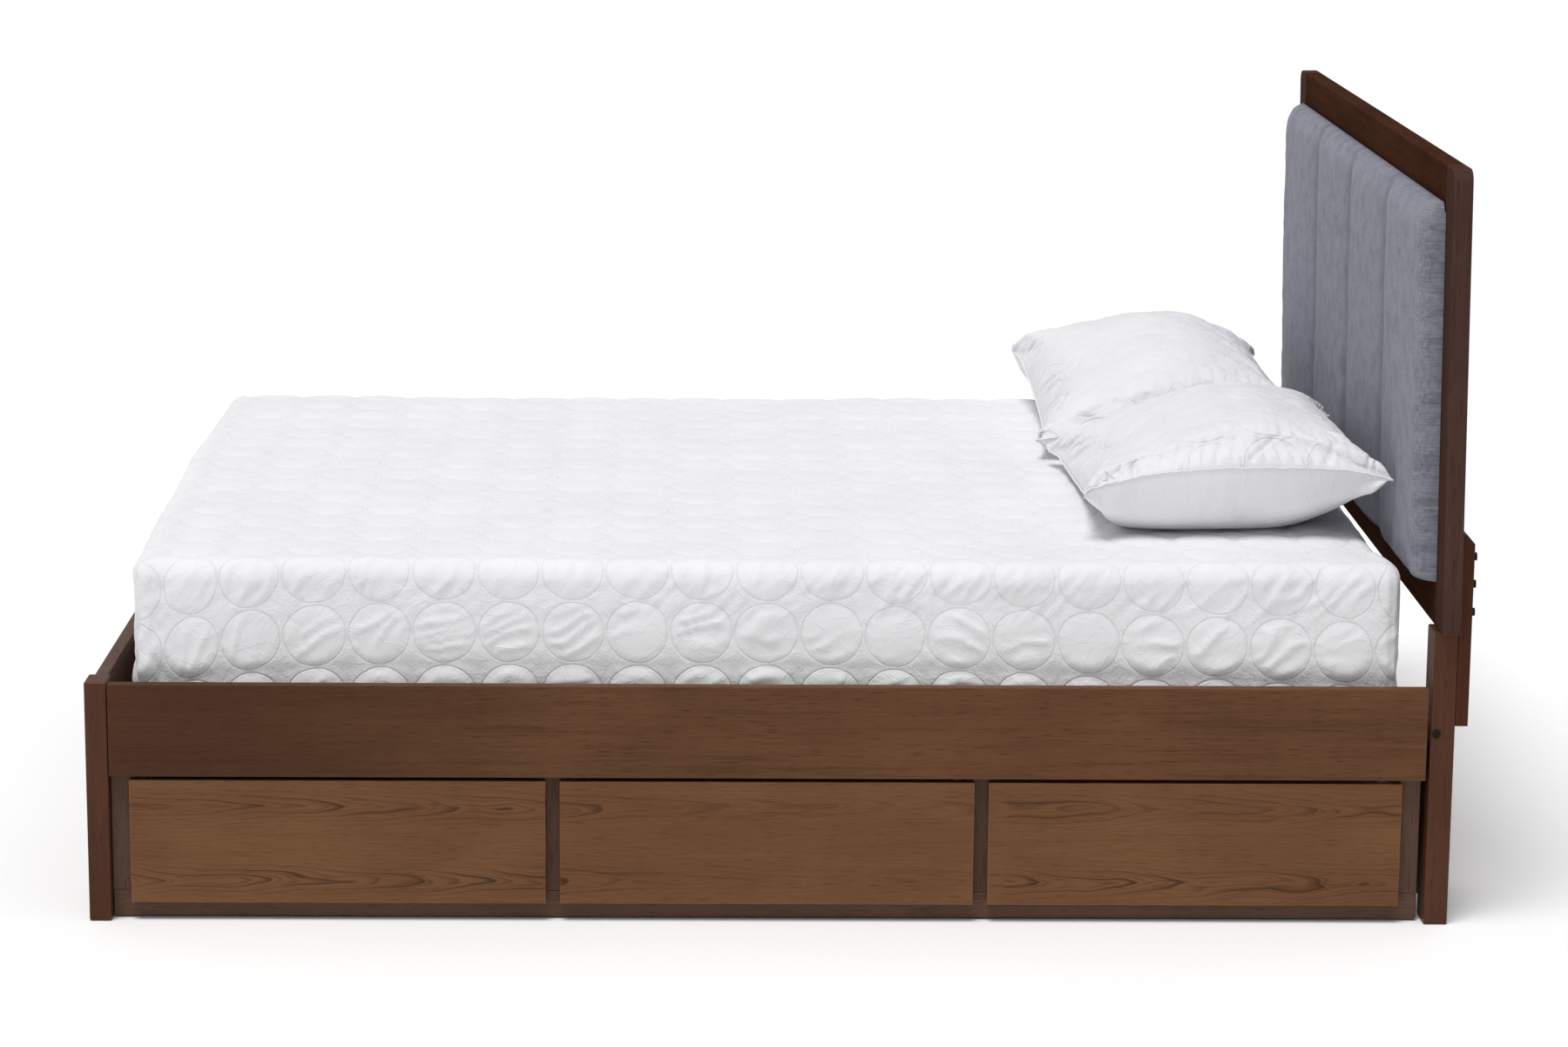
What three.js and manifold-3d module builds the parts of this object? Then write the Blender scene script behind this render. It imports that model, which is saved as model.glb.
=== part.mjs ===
// Storage platform bed: queen size, walnut-stained wood base with three drawers on its right side,
// and a wood-framed headboard that holds an upholstered, channelled pad.
// Millimetres. +Y runs from the foot to the head, +Z is up, +X is the side with the drawers.
// The origin is on the floor, under the centre of the overall box.
import * as THREE from "three";
import { mergeVertices } from "three/addons/utils/BufferGeometryUtils.js";
import Module from "manifold-3d";

const wasm = await Module();
wasm.setup();

// ---- driving dimensions ------------------------------------------------------------------
const LENGTH = 2133; // outer face of the footboard posts to the bolt heads behind the headboard
const HALF_W = 805; // centre line to the outer face of the posts
const GAP = 0.3; // clearance between pieces that touch

// Positions along the bed are given as a distance u from the outer face of the foot posts.
const FOOT_POST = { u0: 0, u1: 34, depth: 56, h: 380 };
const FOOTBOARD = { u0: 8, u1: 28, z0: 30, z1: 378 };
const HEAD_POST = { u0: 2072, u1: 2109, depth: 63, h: 467 };
const HEAD_PANEL = { u0: 2072, u1: 2088, z0: 30, z1: 275 };
const RAIL = { u0: 35, u1: 2067, x0: 785, x1: 804.5, z0: 231, z1: 377 };
const FRAME_X = [764.7, 784.7]; // face frame, flat on the back of the rail
const FRAME_U = [35, 2063];
const BASE_RAIL = { z0: 3, z1: 45 };
const STILES = [
  [35, 77],
  [694, 740],
  [1357, 1403],
  [2020, 2063],
];
const STILE_TOP = 261.5;
const PANEL_T = 16; // closed panel on the left side
const DIVIDER = { half: 9, u0: 28.5, u1: 2071.5, z0: 3, z1: 289.7 };
const LEDGE = { x0: 756.7, x1: 784.7, u0: 36, u1: 2066, z0: 262, z1: 290 };

const DRAWER = {
  centres: [385.5, 1048.5, 1711.5],
  frontW: 641,
  frontX: [785, 802],
  frontZ: [29, 225],
  boxW: 607,
  boxZ: [57.5, 214],
  boxFrontX: [768.2, 784.7],
  boxBackX: 226,
  side: 12,
  bottom: [66, 71],
};
const RUNNER = { x0: 9.3, x1: 764.4, z0: 45, zFlange: 57, z1: 88, lip: 14, clear: 1 };

const SLAT = { n: 14, w: 70, half: 782, z0: 290.3, z1: 305.3, first: 96, last: 2012 };
const STRAP = { x: [-560, 0, 560], w: 30, z0: 288.4, z1: 290.9 };

const HEADBOARD = {
  half: 825,
  u0: 2080,
  u1: 2109,
  z0: 467.3,
  z1: 1182,
  stile: 68,
  top: 72,
  bottom: 68,
  corner: 20,
  lean: 0.8,
};
const PAD = { u0: 2046, u1: 2091.7 };
const BACK_PANEL = { u0: 2092, u1: 2103 };
const LEG = { x0: 742, x1: 805, u0: 2109.3, u1: 2128.3, z0: 319, z1: 620, cham: [12, 14] };
const BOLT = { z: [498, 542, 585], x: 795, r: 6.5, head: 4.7, shank: 3, len: 40 };
const POST_BOLT = { u: 2080, z: 307, r: 7, head: 1.2, shank: 3, len: 95 };

const MATTRESS = { half: 755, u0: 51, u1: 2031, z0: 305.8, z1: 556, r: 52, edge: 35 };
const COVERLET = { half: 764, u0: 42, u1: 2040, hem: 318, z1: 565.5, r: 60, edge: 42 };
const PILLOWS = {
  pillow_near: { x: [-60, 608], u: [1540, 2036], seam: 652, top: 748 },
  pillow_far: { x: [-752, -84], u: [1522, 2026], seam: 655, top: 762 },
};
const PILLOW_BASE = 566.2;

// ---- finishes ----------------------------------------------------------------------------
const finish = (r, g, b, roughness, metalness = 0) => () =>
  new THREE.MeshStandardMaterial({
    color: new THREE.Color().setRGB(r, g, b),
    roughness,
    metalness,
  });
const darkWood = finish(0.085, 0.042, 0.026, 0.45);
const frontWood = finish(0.15, 0.07, 0.034, 0.5);
const paleWood = finish(0.6, 0.44, 0.28, 0.6);
const plywood = finish(0.55, 0.4, 0.26, 0.65);
const webbing = finish(0.7, 0.68, 0.62, 0.9);
const padCloth = finish(0.2, 0.21, 0.25, 0.95);
const whiteCloth = finish(0.8, 0.8, 0.82, 0.9);
const tickingCloth = finish(0.72, 0.72, 0.73, 0.95);
const blackSteel = finish(0.03, 0.028, 0.028, 0.4, 0.9);

// ---- helpers -----------------------------------------------------------------------------
const yOf = (u) => u - LENGTH / 2;

// Merges equal corners and drops the triangles that this leaves without area.
function tidy(geometry) {
  const g = new THREE.BufferGeometry().setAttribute(
    "position",
    (geometry.index ? geometry.toNonIndexed() : geometry).getAttribute("position").clone(),
  );
  const merged = mergeVertices(g, 1e-3);
  const src = merged.index.array;
  const out = [];
  for (let i = 0; i < src.length; i += 3) {
    const [a, b, c] = [src[i], src[i + 1], src[i + 2]];
    if (a !== b && b !== c && a !== c) out.push(a, b, c);
  }
  merged.setIndex(out);
  return merged;
}

function solid(geometry) {
  const g = tidy(geometry);
  return new wasm.Manifold(
    new wasm.Mesh({
      numProp: 3,
      vertProperties: new Float32Array(g.getAttribute("position").array),
      triVerts: new Uint32Array(g.index.array),
    }),
  );
}

function geometryOf(manifold) {
  const m = manifold.getMesh();
  const g = new THREE.BufferGeometry();
  const pos = new Float32Array((m.vertProperties.length / m.numProp) * 3);
  for (let i = 0; i < pos.length / 3; i++)
    for (let k = 0; k < 3; k++) pos[3 * i + k] = m.vertProperties[m.numProp * i + k];
  g.setAttribute("position", new THREE.BufferAttribute(pos, 3));
  g.setIndex(new THREE.BufferAttribute(new Uint32Array(m.triVerts), 1));
  const flat = g.toNonIndexed();
  flat.computeVertexNormals();
  return flat;
}

// A block whose edges and corners are rounded to radius r, with n facets round each edge.
// n = 1 gives a plain chamfer.
function roundedBlock([x0, x1], [y0, y1], [z0, z1], r, n) {
  const h = [(x1 - x0) / 2 - r, (y1 - y0) / 2 - r, (z1 - z0) / 2 - r];
  const c = [(x1 + x0) / 2, (y1 + y0) / 2, (z1 + z0) / 2];
  const rows = [];
  for (const sz of [1, -1])
    for (let i = 0; i <= n; i++) {
      const lat = ((sz > 0 ? n - i : i) / n) * (Math.PI / 2);
      const row = [];
      for (let q = 0; q < 4; q++)
        for (let j = 0; j <= n; j++) {
          const lon = ((q + j / n) * Math.PI) / 2;
          const sx = q === 0 || q === 3 ? 1 : -1;
          const sy = q < 2 ? 1 : -1;
          row.push([
            c[0] + sx * h[0] + r * Math.cos(lat) * Math.cos(lon),
            c[1] + sy * h[1] + r * Math.cos(lat) * Math.sin(lon),
            c[2] + sz * (h[2] + r * Math.sin(lat)),
          ]);
        }
      rows.push(row);
    }
  const pos = [];
  const tri = (a, b, d) => pos.push(...a, ...b, ...d);
  const m = rows[0].length;
  for (let i = 0; i + 1 < rows.length; i++)
    for (let j = 0; j < m; j++) {
      const k = (j + 1) % m;
      tri(rows[i][j], rows[i + 1][j], rows[i + 1][k]);
      tri(rows[i][j], rows[i + 1][k], rows[i][k]);
    }
  const cap = (row, up) => {
    const p = [0, 1, 2, 3].map((q) => row[q * (n + 1)]);
    if (up) {
      tri(p[0], p[1], p[2]);
      tri(p[0], p[2], p[3]);
    } else {
      tri(p[0], p[2], p[1]);
      tri(p[0], p[3], p[2]);
    }
  };
  cap(rows[0], true);
  cap(rows[rows.length - 1], false);
  const g = new THREE.BufferGeometry().setAttribute(
    "position",
    new THREE.Float32BufferAttribute(pos, 3),
  );
  const t = tidy(g).toNonIndexed();
  t.computeVertexNormals();
  return t;
}

// The same block, placed with u along the bed.
const block = (x, u, z, r = 1, n = 1) => roundedBlock(x, [yOf(u[0]), yOf(u[1])], z, r, n);

// A prism: a polygon in the (u, z) plane, run along X.
function alongX(points, x0, x1) {
  const shape = new THREE.Shape(points.map(([u, z]) => new THREE.Vector2(yOf(u), z)));
  const g = new THREE.ExtrudeGeometry(shape, { depth: x1 - x0, bevelEnabled: false });
  g.applyMatrix4(
    new THREE.Matrix4().makeBasis(
      new THREE.Vector3(0, 1, 0),
      new THREE.Vector3(0, 0, 1),
      new THREE.Vector3(1, 0, 0),
    ),
  );
  return g.translate(x0, 0, 0);
}

// A round bar from point a to point b.
function bar(a, b, r, sides = 16) {
  const p = new THREE.Vector3(...a);
  const q = new THREE.Vector3(...b);
  const g = new THREE.CylinderGeometry(r, r, p.distanceTo(q), sides);
  g.applyQuaternion(
    new THREE.Quaternion().setFromUnitVectors(
      new THREE.Vector3(0, 1, 0),
      q.clone().sub(p).normalize(),
    ),
  );
  const mid = p.clone().add(q).multiplyScalar(0.5);
  return g.translate(mid.x, mid.y, mid.z);
}

// A slab with rounded plan corners (radius R) and rounded top and bottom edges (radius e).
function slab(half, u0, u1, z0, z1, R, e, steps) {
  const [y0, y1] = [yOf(u0), yOf(u1)];
  const s = new THREE.Shape();
  s.moveTo(half, y0 + R);
  s.lineTo(half, y1 - R);
  s.absarc(half - R, y1 - R, R, 0, Math.PI / 2, false);
  s.lineTo(-half + R, y1);
  s.absarc(-half + R, y1 - R, R, Math.PI / 2, Math.PI, false);
  s.lineTo(-half, y0 + R);
  s.absarc(-half + R, y0 + R, R, Math.PI, 1.5 * Math.PI, false);
  s.lineTo(half - R, y0);
  s.absarc(half - R, y0 + R, R, 1.5 * Math.PI, 2 * Math.PI, false);
  const g = new THREE.ExtrudeGeometry(s, {
    depth: z1 - z0 - 2 * e,
    curveSegments: 5,
    bevelEnabled: true,
    bevelThickness: e,
    bevelSize: e,
    bevelOffset: -e,
    bevelSegments: steps,
  });
  return g.translate(0, 0, z0 + e);
}

const group = new THREE.Group();
function add(name, geometry, material) {
  const mesh = new THREE.Mesh(geometry, material());
  mesh.name = name;
  group.add(mesh);
  return mesh;
}
const sides = [
  ["right", 1],
  ["left", -1],
];
const span = (s, a, b) => (s > 0 ? [a, b] : [-b, -a]);

// ---- posts, footboard and head panel ---------------------------------------------------------
for (const [side, s] of sides)
  add(
    "foot_post_" + side,
    block(
      span(s, HALF_W - FOOT_POST.depth, HALF_W),
      [FOOT_POST.u0, FOOT_POST.u1],
      [0, FOOT_POST.h],
      3,
      3,
    ),
    darkWood,
  );
const footHalf = HALF_W - FOOT_POST.depth - GAP;
add(
  "footboard_panel",
  block([-footHalf, footHalf], [FOOTBOARD.u0, FOOTBOARD.u1], [FOOTBOARD.z0, FOOTBOARD.z1], 2.5, 2),
  darkWood,
);

const postBolt = (s, r, from, to) =>
  bar(
    [s * from, yOf(POST_BOLT.u), POST_BOLT.z],
    [s * to, yOf(POST_BOLT.u), POST_BOLT.z],
    r,
  );
for (const [side, s] of sides) {
  const hole = solid(postBolt(s, POST_BOLT.shank + GAP, HALF_W - 120, HALF_W + 5));
  add(
    "head_post_" + side,
    geometryOf(
      solid(
        block(
          span(s, HALF_W - HEAD_POST.depth, HALF_W),
          [HEAD_POST.u0, HEAD_POST.u1],
          [0, HEAD_POST.h],
          2.5,
          2,
        ),
      ).subtract(hole),
    ),
    darkWood,
  );
  add(
    "head_post_bolt_" + side,
    geometryOf(
      solid(postBolt(s, POST_BOLT.r, HALF_W + GAP, HALF_W + GAP + POST_BOLT.head)).add(
        solid(postBolt(s, POST_BOLT.shank, HALF_W - POST_BOLT.len, HALF_W + GAP + 0.6)),
      ),
    ),
    blackSteel,
  );
}
const headHalf = HALF_W - HEAD_POST.depth - GAP;
let headPanel = solid(
  block([-headHalf, headHalf], [HEAD_PANEL.u0, HEAD_PANEL.u1], [HEAD_PANEL.z0, HEAD_PANEL.z1]),
);
for (const [, s] of sides)
  headPanel = headPanel.subtract(
    solid(postBolt(s, POST_BOLT.shank + GAP, HALF_W - POST_BOLT.len - 5, HALF_W)),
  );
add("head_end_panel", geometryOf(headPanel), darkWood);

// ---- side rails and the drawer front frame -----------------------------------------------------
for (const [side, s] of sides)
  add(
    "side_rail_" + side,
    block(span(s, RAIL.x0, RAIL.x1), [RAIL.u0, RAIL.u1], [RAIL.z0, RAIL.z1], 2, 2),
    darkWood,
  );
add("base_rail_right", block(FRAME_X, FRAME_U, [BASE_RAIL.z0, BASE_RAIL.z1 - GAP], 1.5), darkWood);
STILES.forEach((u, i) =>
  add("frame_stile_" + (i + 1), block(FRAME_X, u, [BASE_RAIL.z1, STILE_TOP]), darkWood),
);
add(
  "side_panel_left",
  block([-FRAME_X[1], -FRAME_X[1] + PANEL_T], FRAME_U, [BASE_RAIL.z0, STILE_TOP], 1.5),
  darkWood,
);
add(
  "centre_divider",
  block([-DIVIDER.half, DIVIDER.half], [DIVIDER.u0, DIVIDER.u1], [DIVIDER.z0, DIVIDER.z1]),
  plywood,
);

// ---- drawer runners: waxed T- and L-section bars between face frame and centre divider --------
const boxEdges = DRAWER.centres.map((c) => [c - DRAWER.boxW / 2, c + DRAWER.boxW / 2]);
const runnerEdges = [
  [null, boxEdges[0][0]],
  [boxEdges[0][1], boxEdges[1][0]],
  [boxEdges[1][1], boxEdges[2][0]],
  [boxEdges[2][1], null],
];
runnerEdges.forEach(([left, right], i) => {
  // Guide faces stand one clearance away from the drawer sides; flanges reach under them.
  const g0 = left === null ? right - RUNNER.clear - 21 : left + RUNNER.clear;
  const g1 = right === null ? left + RUNNER.clear + 21 : right - RUNNER.clear;
  const f0 = left === null ? g0 : left - RUNNER.lip;
  const f1 = right === null ? g1 : right + RUNNER.lip;
  const pts = [[f0, RUNNER.z0], [f1, RUNNER.z0], [f1, RUNNER.zFlange]];
  if (f1 !== g1) pts.push([g1, RUNNER.zFlange]);
  pts.push([g1, RUNNER.z1], [g0, RUNNER.z1]);
  if (f0 !== g0) pts.push([g0, RUNNER.zFlange]);
  if (f0 !== g0) pts.push([f0, RUNNER.zFlange]);
  const outline = pts.filter(
    (p, k) => k === 0 || p[0] !== pts[k - 1][0] || p[1] !== pts[k - 1][1],
  );
  if (f1 === g1) outline.splice(2, 1);
  add("drawer_runner_" + (i + 1), alongX(outline, RUNNER.x0, RUNNER.x1), paleWood);
});

// ---- drawers ---------------------------------------------------------------------------------
DRAWER.centres.forEach((c, i) => {
  const id = "drawer_" + (i + 1) + "_";
  const [b0, b1] = boxEdges[i];
  const [f0, f1] = [c - DRAWER.frontW / 2, c + DRAWER.frontW / 2];
  const inner = [b0 + DRAWER.side + GAP, b1 - DRAWER.side - GAP];
  const sideX = [DRAWER.boxBackX, DRAWER.boxFrontX[0] - GAP];
  add(id + "front", block(DRAWER.frontX, [f0, f1], DRAWER.frontZ, 1.5, 2), frontWood);
  add(id + "box_front", block(DRAWER.boxFrontX, [b0, b1], DRAWER.boxZ), paleWood);
  add(id + "side_foot", block(sideX, [b0, b0 + DRAWER.side], DRAWER.boxZ), paleWood);
  add(id + "side_head", block(sideX, [b1 - DRAWER.side, b1], DRAWER.boxZ), paleWood);
  add(
    id + "back",
    block([DRAWER.boxBackX, DRAWER.boxBackX + DRAWER.side], inner, DRAWER.boxZ),
    paleWood,
  );
  add(
    id + "bottom",
    block(
      [DRAWER.boxBackX + DRAWER.side + GAP, DRAWER.boxFrontX[0] - GAP],
      inner,
      DRAWER.bottom,
      0.5,
    ),
    plywood,
  );
});

// ---- mattress support ---------------------------------------------------------------------------
for (const [side, s] of sides)
  add(
    "slat_ledge_" + side,
    block(span(s, LEDGE.x0, LEDGE.x1), [LEDGE.u0, LEDGE.u1], [LEDGE.z0, LEDGE.z1]),
    paleWood,
  );
// Slats joined by three webbing straps stapled to their undersides, so they roll up as one piece.
let slats = null;
for (let i = 0; i < SLAT.n; i++) {
  const u = SLAT.first + ((SLAT.last - SLAT.first) * i) / (SLAT.n - 1);
  const one = solid(
    block([-SLAT.half, SLAT.half], [u - SLAT.w / 2, u + SLAT.w / 2], [SLAT.z0, SLAT.z1]),
  );
  slats = slats ? slats.add(one) : one;
}
for (const x of STRAP.x) {
  if (x === 0) continue;
  slats = slats.add(
    solid(
      roundedBlock(
        [x - STRAP.w / 2, x + STRAP.w / 2],
        [yOf(SLAT.first - 25), yOf(SLAT.last + 25)],
        [STRAP.z0, STRAP.z1],
        0.5,
        1,
      ),
    ),
  );
}
add("slat_roll", geometryOf(slats), paleWood);

// ---- headboard ---------------------------------------------------------------------------------
const H = HEADBOARD;
const hy = [H.u0, H.u1];
// The whole headboard leans a little towards the bed, turned about its lower front edge.
const leaned = (g) =>
  g
    .translate(0, -yOf(H.u0), -H.z0)
    .rotateX((H.lean * Math.PI) / 180)
    .translate(0, yOf(H.u0), H.z0);
// Upright stiles run the full height, each with a rounded upper outer corner.
function stileBlock(s) {
  const e = 2;
  const inner = H.half - H.stile;
  const shape = new THREE.Shape();
  shape.moveTo(s * inner, H.z0);
  shape.lineTo(s * H.half, H.z0);
  shape.lineTo(s * H.half, H.z1 - H.corner);
  if (s > 0) {
    shape.absarc(H.half - H.corner, H.z1 - H.corner, H.corner, 0, Math.PI / 2, false);
  } else {
    shape.absarc(-H.half + H.corner, H.z1 - H.corner, H.corner, Math.PI, Math.PI / 2, true);
  }
  shape.lineTo(s * inner, H.z1);
  const g = new THREE.ExtrudeGeometry(shape, {
    depth: H.u1 - H.u0 - 2 * e,
    curveSegments: 8,
    bevelEnabled: true,
    bevelThickness: e,
    bevelSize: e,
    bevelOffset: -e,
    bevelSegments: 2,
  });
  return g.rotateX(Math.PI / 2).translate(0, yOf(H.u1) - e, 0);
}
const boltAt = (s, z, r, ua, ub) =>
  bar([s * BOLT.x, yOf(ua), z], [s * BOLT.x, yOf(ub), z], r, 12);
for (const [side, s] of sides) {
  let stile = solid(leaned(stileBlock(s)));
  let leg = solid(
    alongX(
      [
        [LEG.u0, LEG.z0],
        [LEG.u1, LEG.z0],
        [LEG.u1, LEG.z1 - LEG.cham[1]],
        [LEG.u1 - LEG.cham[0], LEG.z1],
        [LEG.u0, LEG.z1],
      ],
      ...span(s, LEG.x0, LEG.x1),
    ),
  );
  BOLT.z.forEach((z, i) => {
    const hole = solid(
      boltAt(s, z, BOLT.shank + GAP, LEG.u1 - BOLT.len - 3, LEG.u1 + 5),
    );
    stile = stile.subtract(hole);
    leg = leg.subtract(hole);
    add(
      "leg_bolt_" + side + "_" + (i + 1),
      geometryOf(
        solid(boltAt(s, z, BOLT.r, LEG.u1 + GAP, LEG.u1 + BOLT.head)).add(
          solid(boltAt(s, z, BOLT.shank, LEG.u1 - BOLT.len, LEG.u1 + 1)),
        ),
      ),
      blackSteel,
    );
  });
  add("headboard_stile_" + side, geometryOf(stile), darkWood);
  add("headboard_leg_" + side, geometryOf(leg), darkWood);
}
const openHalf = H.half - H.stile - GAP;
const openZ = [H.z0 + H.bottom + GAP, H.z1 - H.top - GAP];
for (const [name, z] of [
  ["headboard_top_rail", [H.z1 - H.top, H.z1]],
  ["headboard_bottom_rail", [H.z0, H.z0 + H.bottom]],
]) {
  add(name, leaned(block([-openHalf, openHalf], hy, z, 2, 2)), darkWood);
}
add(
  "headboard_back_panel",
  leaned(block([-openHalf, openHalf], [BACK_PANEL.u0, BACK_PANEL.u1], openZ)),
  darkWood,
);
add(
  "headboard_pad",
  leaned(block([-openHalf, openHalf], [PAD.u0, PAD.u1], openZ, 20, 3)),
  padCloth,
);

// ---- bedding -------------------------------------------------------------------------------------
const M = MATTRESS;
const C = COVERLET;
add("mattress", slab(M.half, M.u0, M.u1, M.z0, M.z1, M.r, M.edge, 3), tickingCloth);
{
  const outer = solid(slab(C.half, C.u0, C.u1, 200, C.z1, C.r, C.edge, 3));
  const inner = solid(
    slab(M.half + 0.4, M.u0 - 0.4, M.u1 + 0.4, 180, M.z1 + 0.4, M.r, M.edge, 3),
  );
  const below = solid(block([-900, 900], [-50, 2200], [100, C.hem]));
  add("coverlet", geometryOf(outer.subtract(inner).subtract(below)), whiteCloth);
}
// Each pillow is a lens on a rectangular seam line: flat underside, crowned top.
for (const [name, p] of Object.entries(PILLOWS)) {
  const [nx, ny] = [12, 10];
  const [cx, cy] = [(p.x[0] + p.x[1]) / 2, yOf((p.u[0] + p.u[1]) / 2)];
  const [hx, hyy] = [(p.x[1] - p.x[0]) / 2, (p.u[1] - p.u[0]) / 2];
  const at = (i, j, up) => {
    const a = -1 + (2 * i) / nx;
    const b = -1 + (2 * j) / ny;
    const f = Math.sqrt(Math.max(0, (1 - a ** 4) * (1 - b ** 4)));
    const low = Math.min(1, f * 1.25);
    return [
      cx + hx * a,
      cy + hyy * b,
      up ? p.seam + (p.top - p.seam) * f : p.seam - (p.seam - PILLOW_BASE) * low,
    ];
  };
  const pos = [];
  for (let i = 0; i < nx; i++)
    for (let j = 0; j < ny; j++)
      for (const up of [true, false]) {
        const q = [at(i, j, up), at(i + 1, j, up), at(i + 1, j + 1, up), at(i, j + 1, up)];
        if (!up) q.reverse();
        pos.push(...q[0], ...q[1], ...q[2], ...q[0], ...q[2], ...q[3]);
      }
  const g = new THREE.BufferGeometry().setAttribute(
    "position",
    new THREE.Float32BufferAttribute(pos, 3),
  );
  const t = tidy(g).toNonIndexed();
  t.computeVertexNormals();
  add(name, t, whiteCloth);
}

export default group;
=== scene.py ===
import math

import bpy
import bmesh
import numpy as np
from mathutils import Matrix, Vector


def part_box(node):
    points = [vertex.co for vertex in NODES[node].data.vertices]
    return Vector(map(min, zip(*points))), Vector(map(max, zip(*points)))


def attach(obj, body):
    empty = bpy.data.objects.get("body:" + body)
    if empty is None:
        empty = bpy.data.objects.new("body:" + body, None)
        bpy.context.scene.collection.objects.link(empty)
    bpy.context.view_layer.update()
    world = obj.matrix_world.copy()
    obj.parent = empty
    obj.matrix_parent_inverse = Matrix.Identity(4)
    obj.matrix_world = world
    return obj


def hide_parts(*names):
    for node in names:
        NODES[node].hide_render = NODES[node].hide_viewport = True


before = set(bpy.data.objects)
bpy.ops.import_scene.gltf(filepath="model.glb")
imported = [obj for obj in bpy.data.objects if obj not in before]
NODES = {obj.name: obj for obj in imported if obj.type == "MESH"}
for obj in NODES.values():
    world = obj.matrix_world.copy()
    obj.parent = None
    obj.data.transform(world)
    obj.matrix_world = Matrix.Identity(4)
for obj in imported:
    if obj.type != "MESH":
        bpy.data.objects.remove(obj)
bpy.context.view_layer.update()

SCENE = bpy.context.scene

# --------------------------------------------------------------------------------------------
# Camera: the bed seen from its drawer side, a little above the mattress
# --------------------------------------------------------------------------------------------
F_PX, RX, RY, RZ = 4697.50562, 0.201137370, -0.0180307348, 0.00816403922
CU, CV, CW = 0.960764033, -6.10515364, 1.87845860


def camera():
    cx, sx, cy, sy, cz, sz = math.cos(RX), math.sin(RX), math.cos(RY), math.sin(RY), math.cos(RZ), math.sin(RZ)
    rx = np.array([[1, 0, 0], [0, cx, -sx], [0, sx, cx]])
    ry = np.array([[cy, 0, sy], [0, 1, 0], [-sy, 0, cy]])
    rz = np.array([[cz, -sz, 0], [sz, cz, 0], [0, 0, 1]])
    r = rz @ rx @ ry @ np.array([[1, 0, 0], [0, 0, -1], [0, 1, 0.0]])
    turn = lambda d: Vector((-d[1], d[0], d[2]))  # (along, away, up) to the row frame
    right, up, back = turn(r[0]), turn(-r[1]), turn(-r[2])
    m = Matrix((right, up, back)).transposed().to_4x4()
    m.translation = Vector((0.805 - CV, CU - 1.0665, CW))
    data = bpy.data.cameras.new("camera")
    data.sensor_fit, data.sensor_width = "HORIZONTAL", 36.0
    data.lens = F_PX / 1800 * 36.0
    data.clip_start, data.clip_end = 0.05, 200
    o = bpy.data.objects.new("camera", data)
    SCENE.collection.objects.link(o)
    o.matrix_world = m
    SCENE.camera = o


camera()
SCENE.view_settings.view_transform = "Standard"
SCENE.view_settings.look = "None"
SCENE.view_settings.exposure = 0.0
SCENE.view_settings.gamma = 1.0

# --------------------------------------------------------------------------------------------
# Repeatable value noise for shapes
# --------------------------------------------------------------------------------------------


def _hash(ix, iy, seed):
    n = (ix.astype(np.int64) * 374761393 + iy.astype(np.int64) * 668265263 + seed * 144665) & 0x7FFFFFFF
    n = ((n ^ (n >> 13)) * 1274126177) & 0x7FFFFFFF
    return ((n ^ (n >> 16)) & 0xFFFF) / 65535.0 * 2 - 1


def noise2(x, y, seed=0):
    x, y = np.asarray(x, float), np.asarray(y, float)
    ix, iy = np.floor(x), np.floor(y)
    fx, fy = x - ix, y - iy
    ux, uy = fx * fx * (3 - 2 * fx), fy * fy * (3 - 2 * fy)
    a, b = _hash(ix, iy, seed), _hash(ix + 1, iy, seed)
    c, d = _hash(ix, iy + 1, seed), _hash(ix + 1, iy + 1, seed)
    return (a * (1 - ux) + b * ux) * (1 - uy) + (c * (1 - ux) + d * ux) * uy


def fbm(x, y, seed=0, octaves=3):
    total, amp = 0, 1.0
    for i in range(octaves):
        total = total + amp * noise2(x * 2**i, y * 2**i, seed + 17 * i)
        amp *= 0.5
    return total / 1.75


def smooth(lo, hi, v):
    t = np.clip((v - lo) / (hi - lo), 0, 1)
    return t * t * (3 - 2 * t)


# --------------------------------------------------------------------------------------------
# Mesh helpers
# --------------------------------------------------------------------------------------------


def make(name, verts, faces, material=None, uv=None, smooth_faces=True):
    me = bpy.data.meshes.new(name)
    me.from_pydata([tuple(map(float, v)) for v in verts], [], [tuple(int(i) for i in f) for f in faces])
    me.validate()
    if smooth_faces:
        me.polygons.foreach_set("use_smooth", [True] * len(me.polygons))
    if uv is not None:
        layer = me.uv_layers.new(name="cloth")
        idx = np.zeros(len(me.loops), np.int64)
        me.loops.foreach_get("vertex_index", idx)
        layer.data.foreach_set("uv", np.asarray(uv, np.float32)[idx].ravel())
    me.update()
    o = bpy.data.objects.new(name, me)
    SCENE.collection.objects.link(o)
    if material is not None:
        me.materials.append(material)
    return o


def grid_faces(ni, nj, wrap_i=False, offset=0, flip=False):
    faces = []
    for i in range(ni if wrap_i else ni - 1):
        for j in range(nj - 1):
            a, b = i * nj + j, ((i + 1) % ni) * nj + j
            q = (a, b, b + 1, a + 1)
            faces.append(tuple(offset + k for k in (q[::-1] if flip else q)))
    return faces


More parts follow.
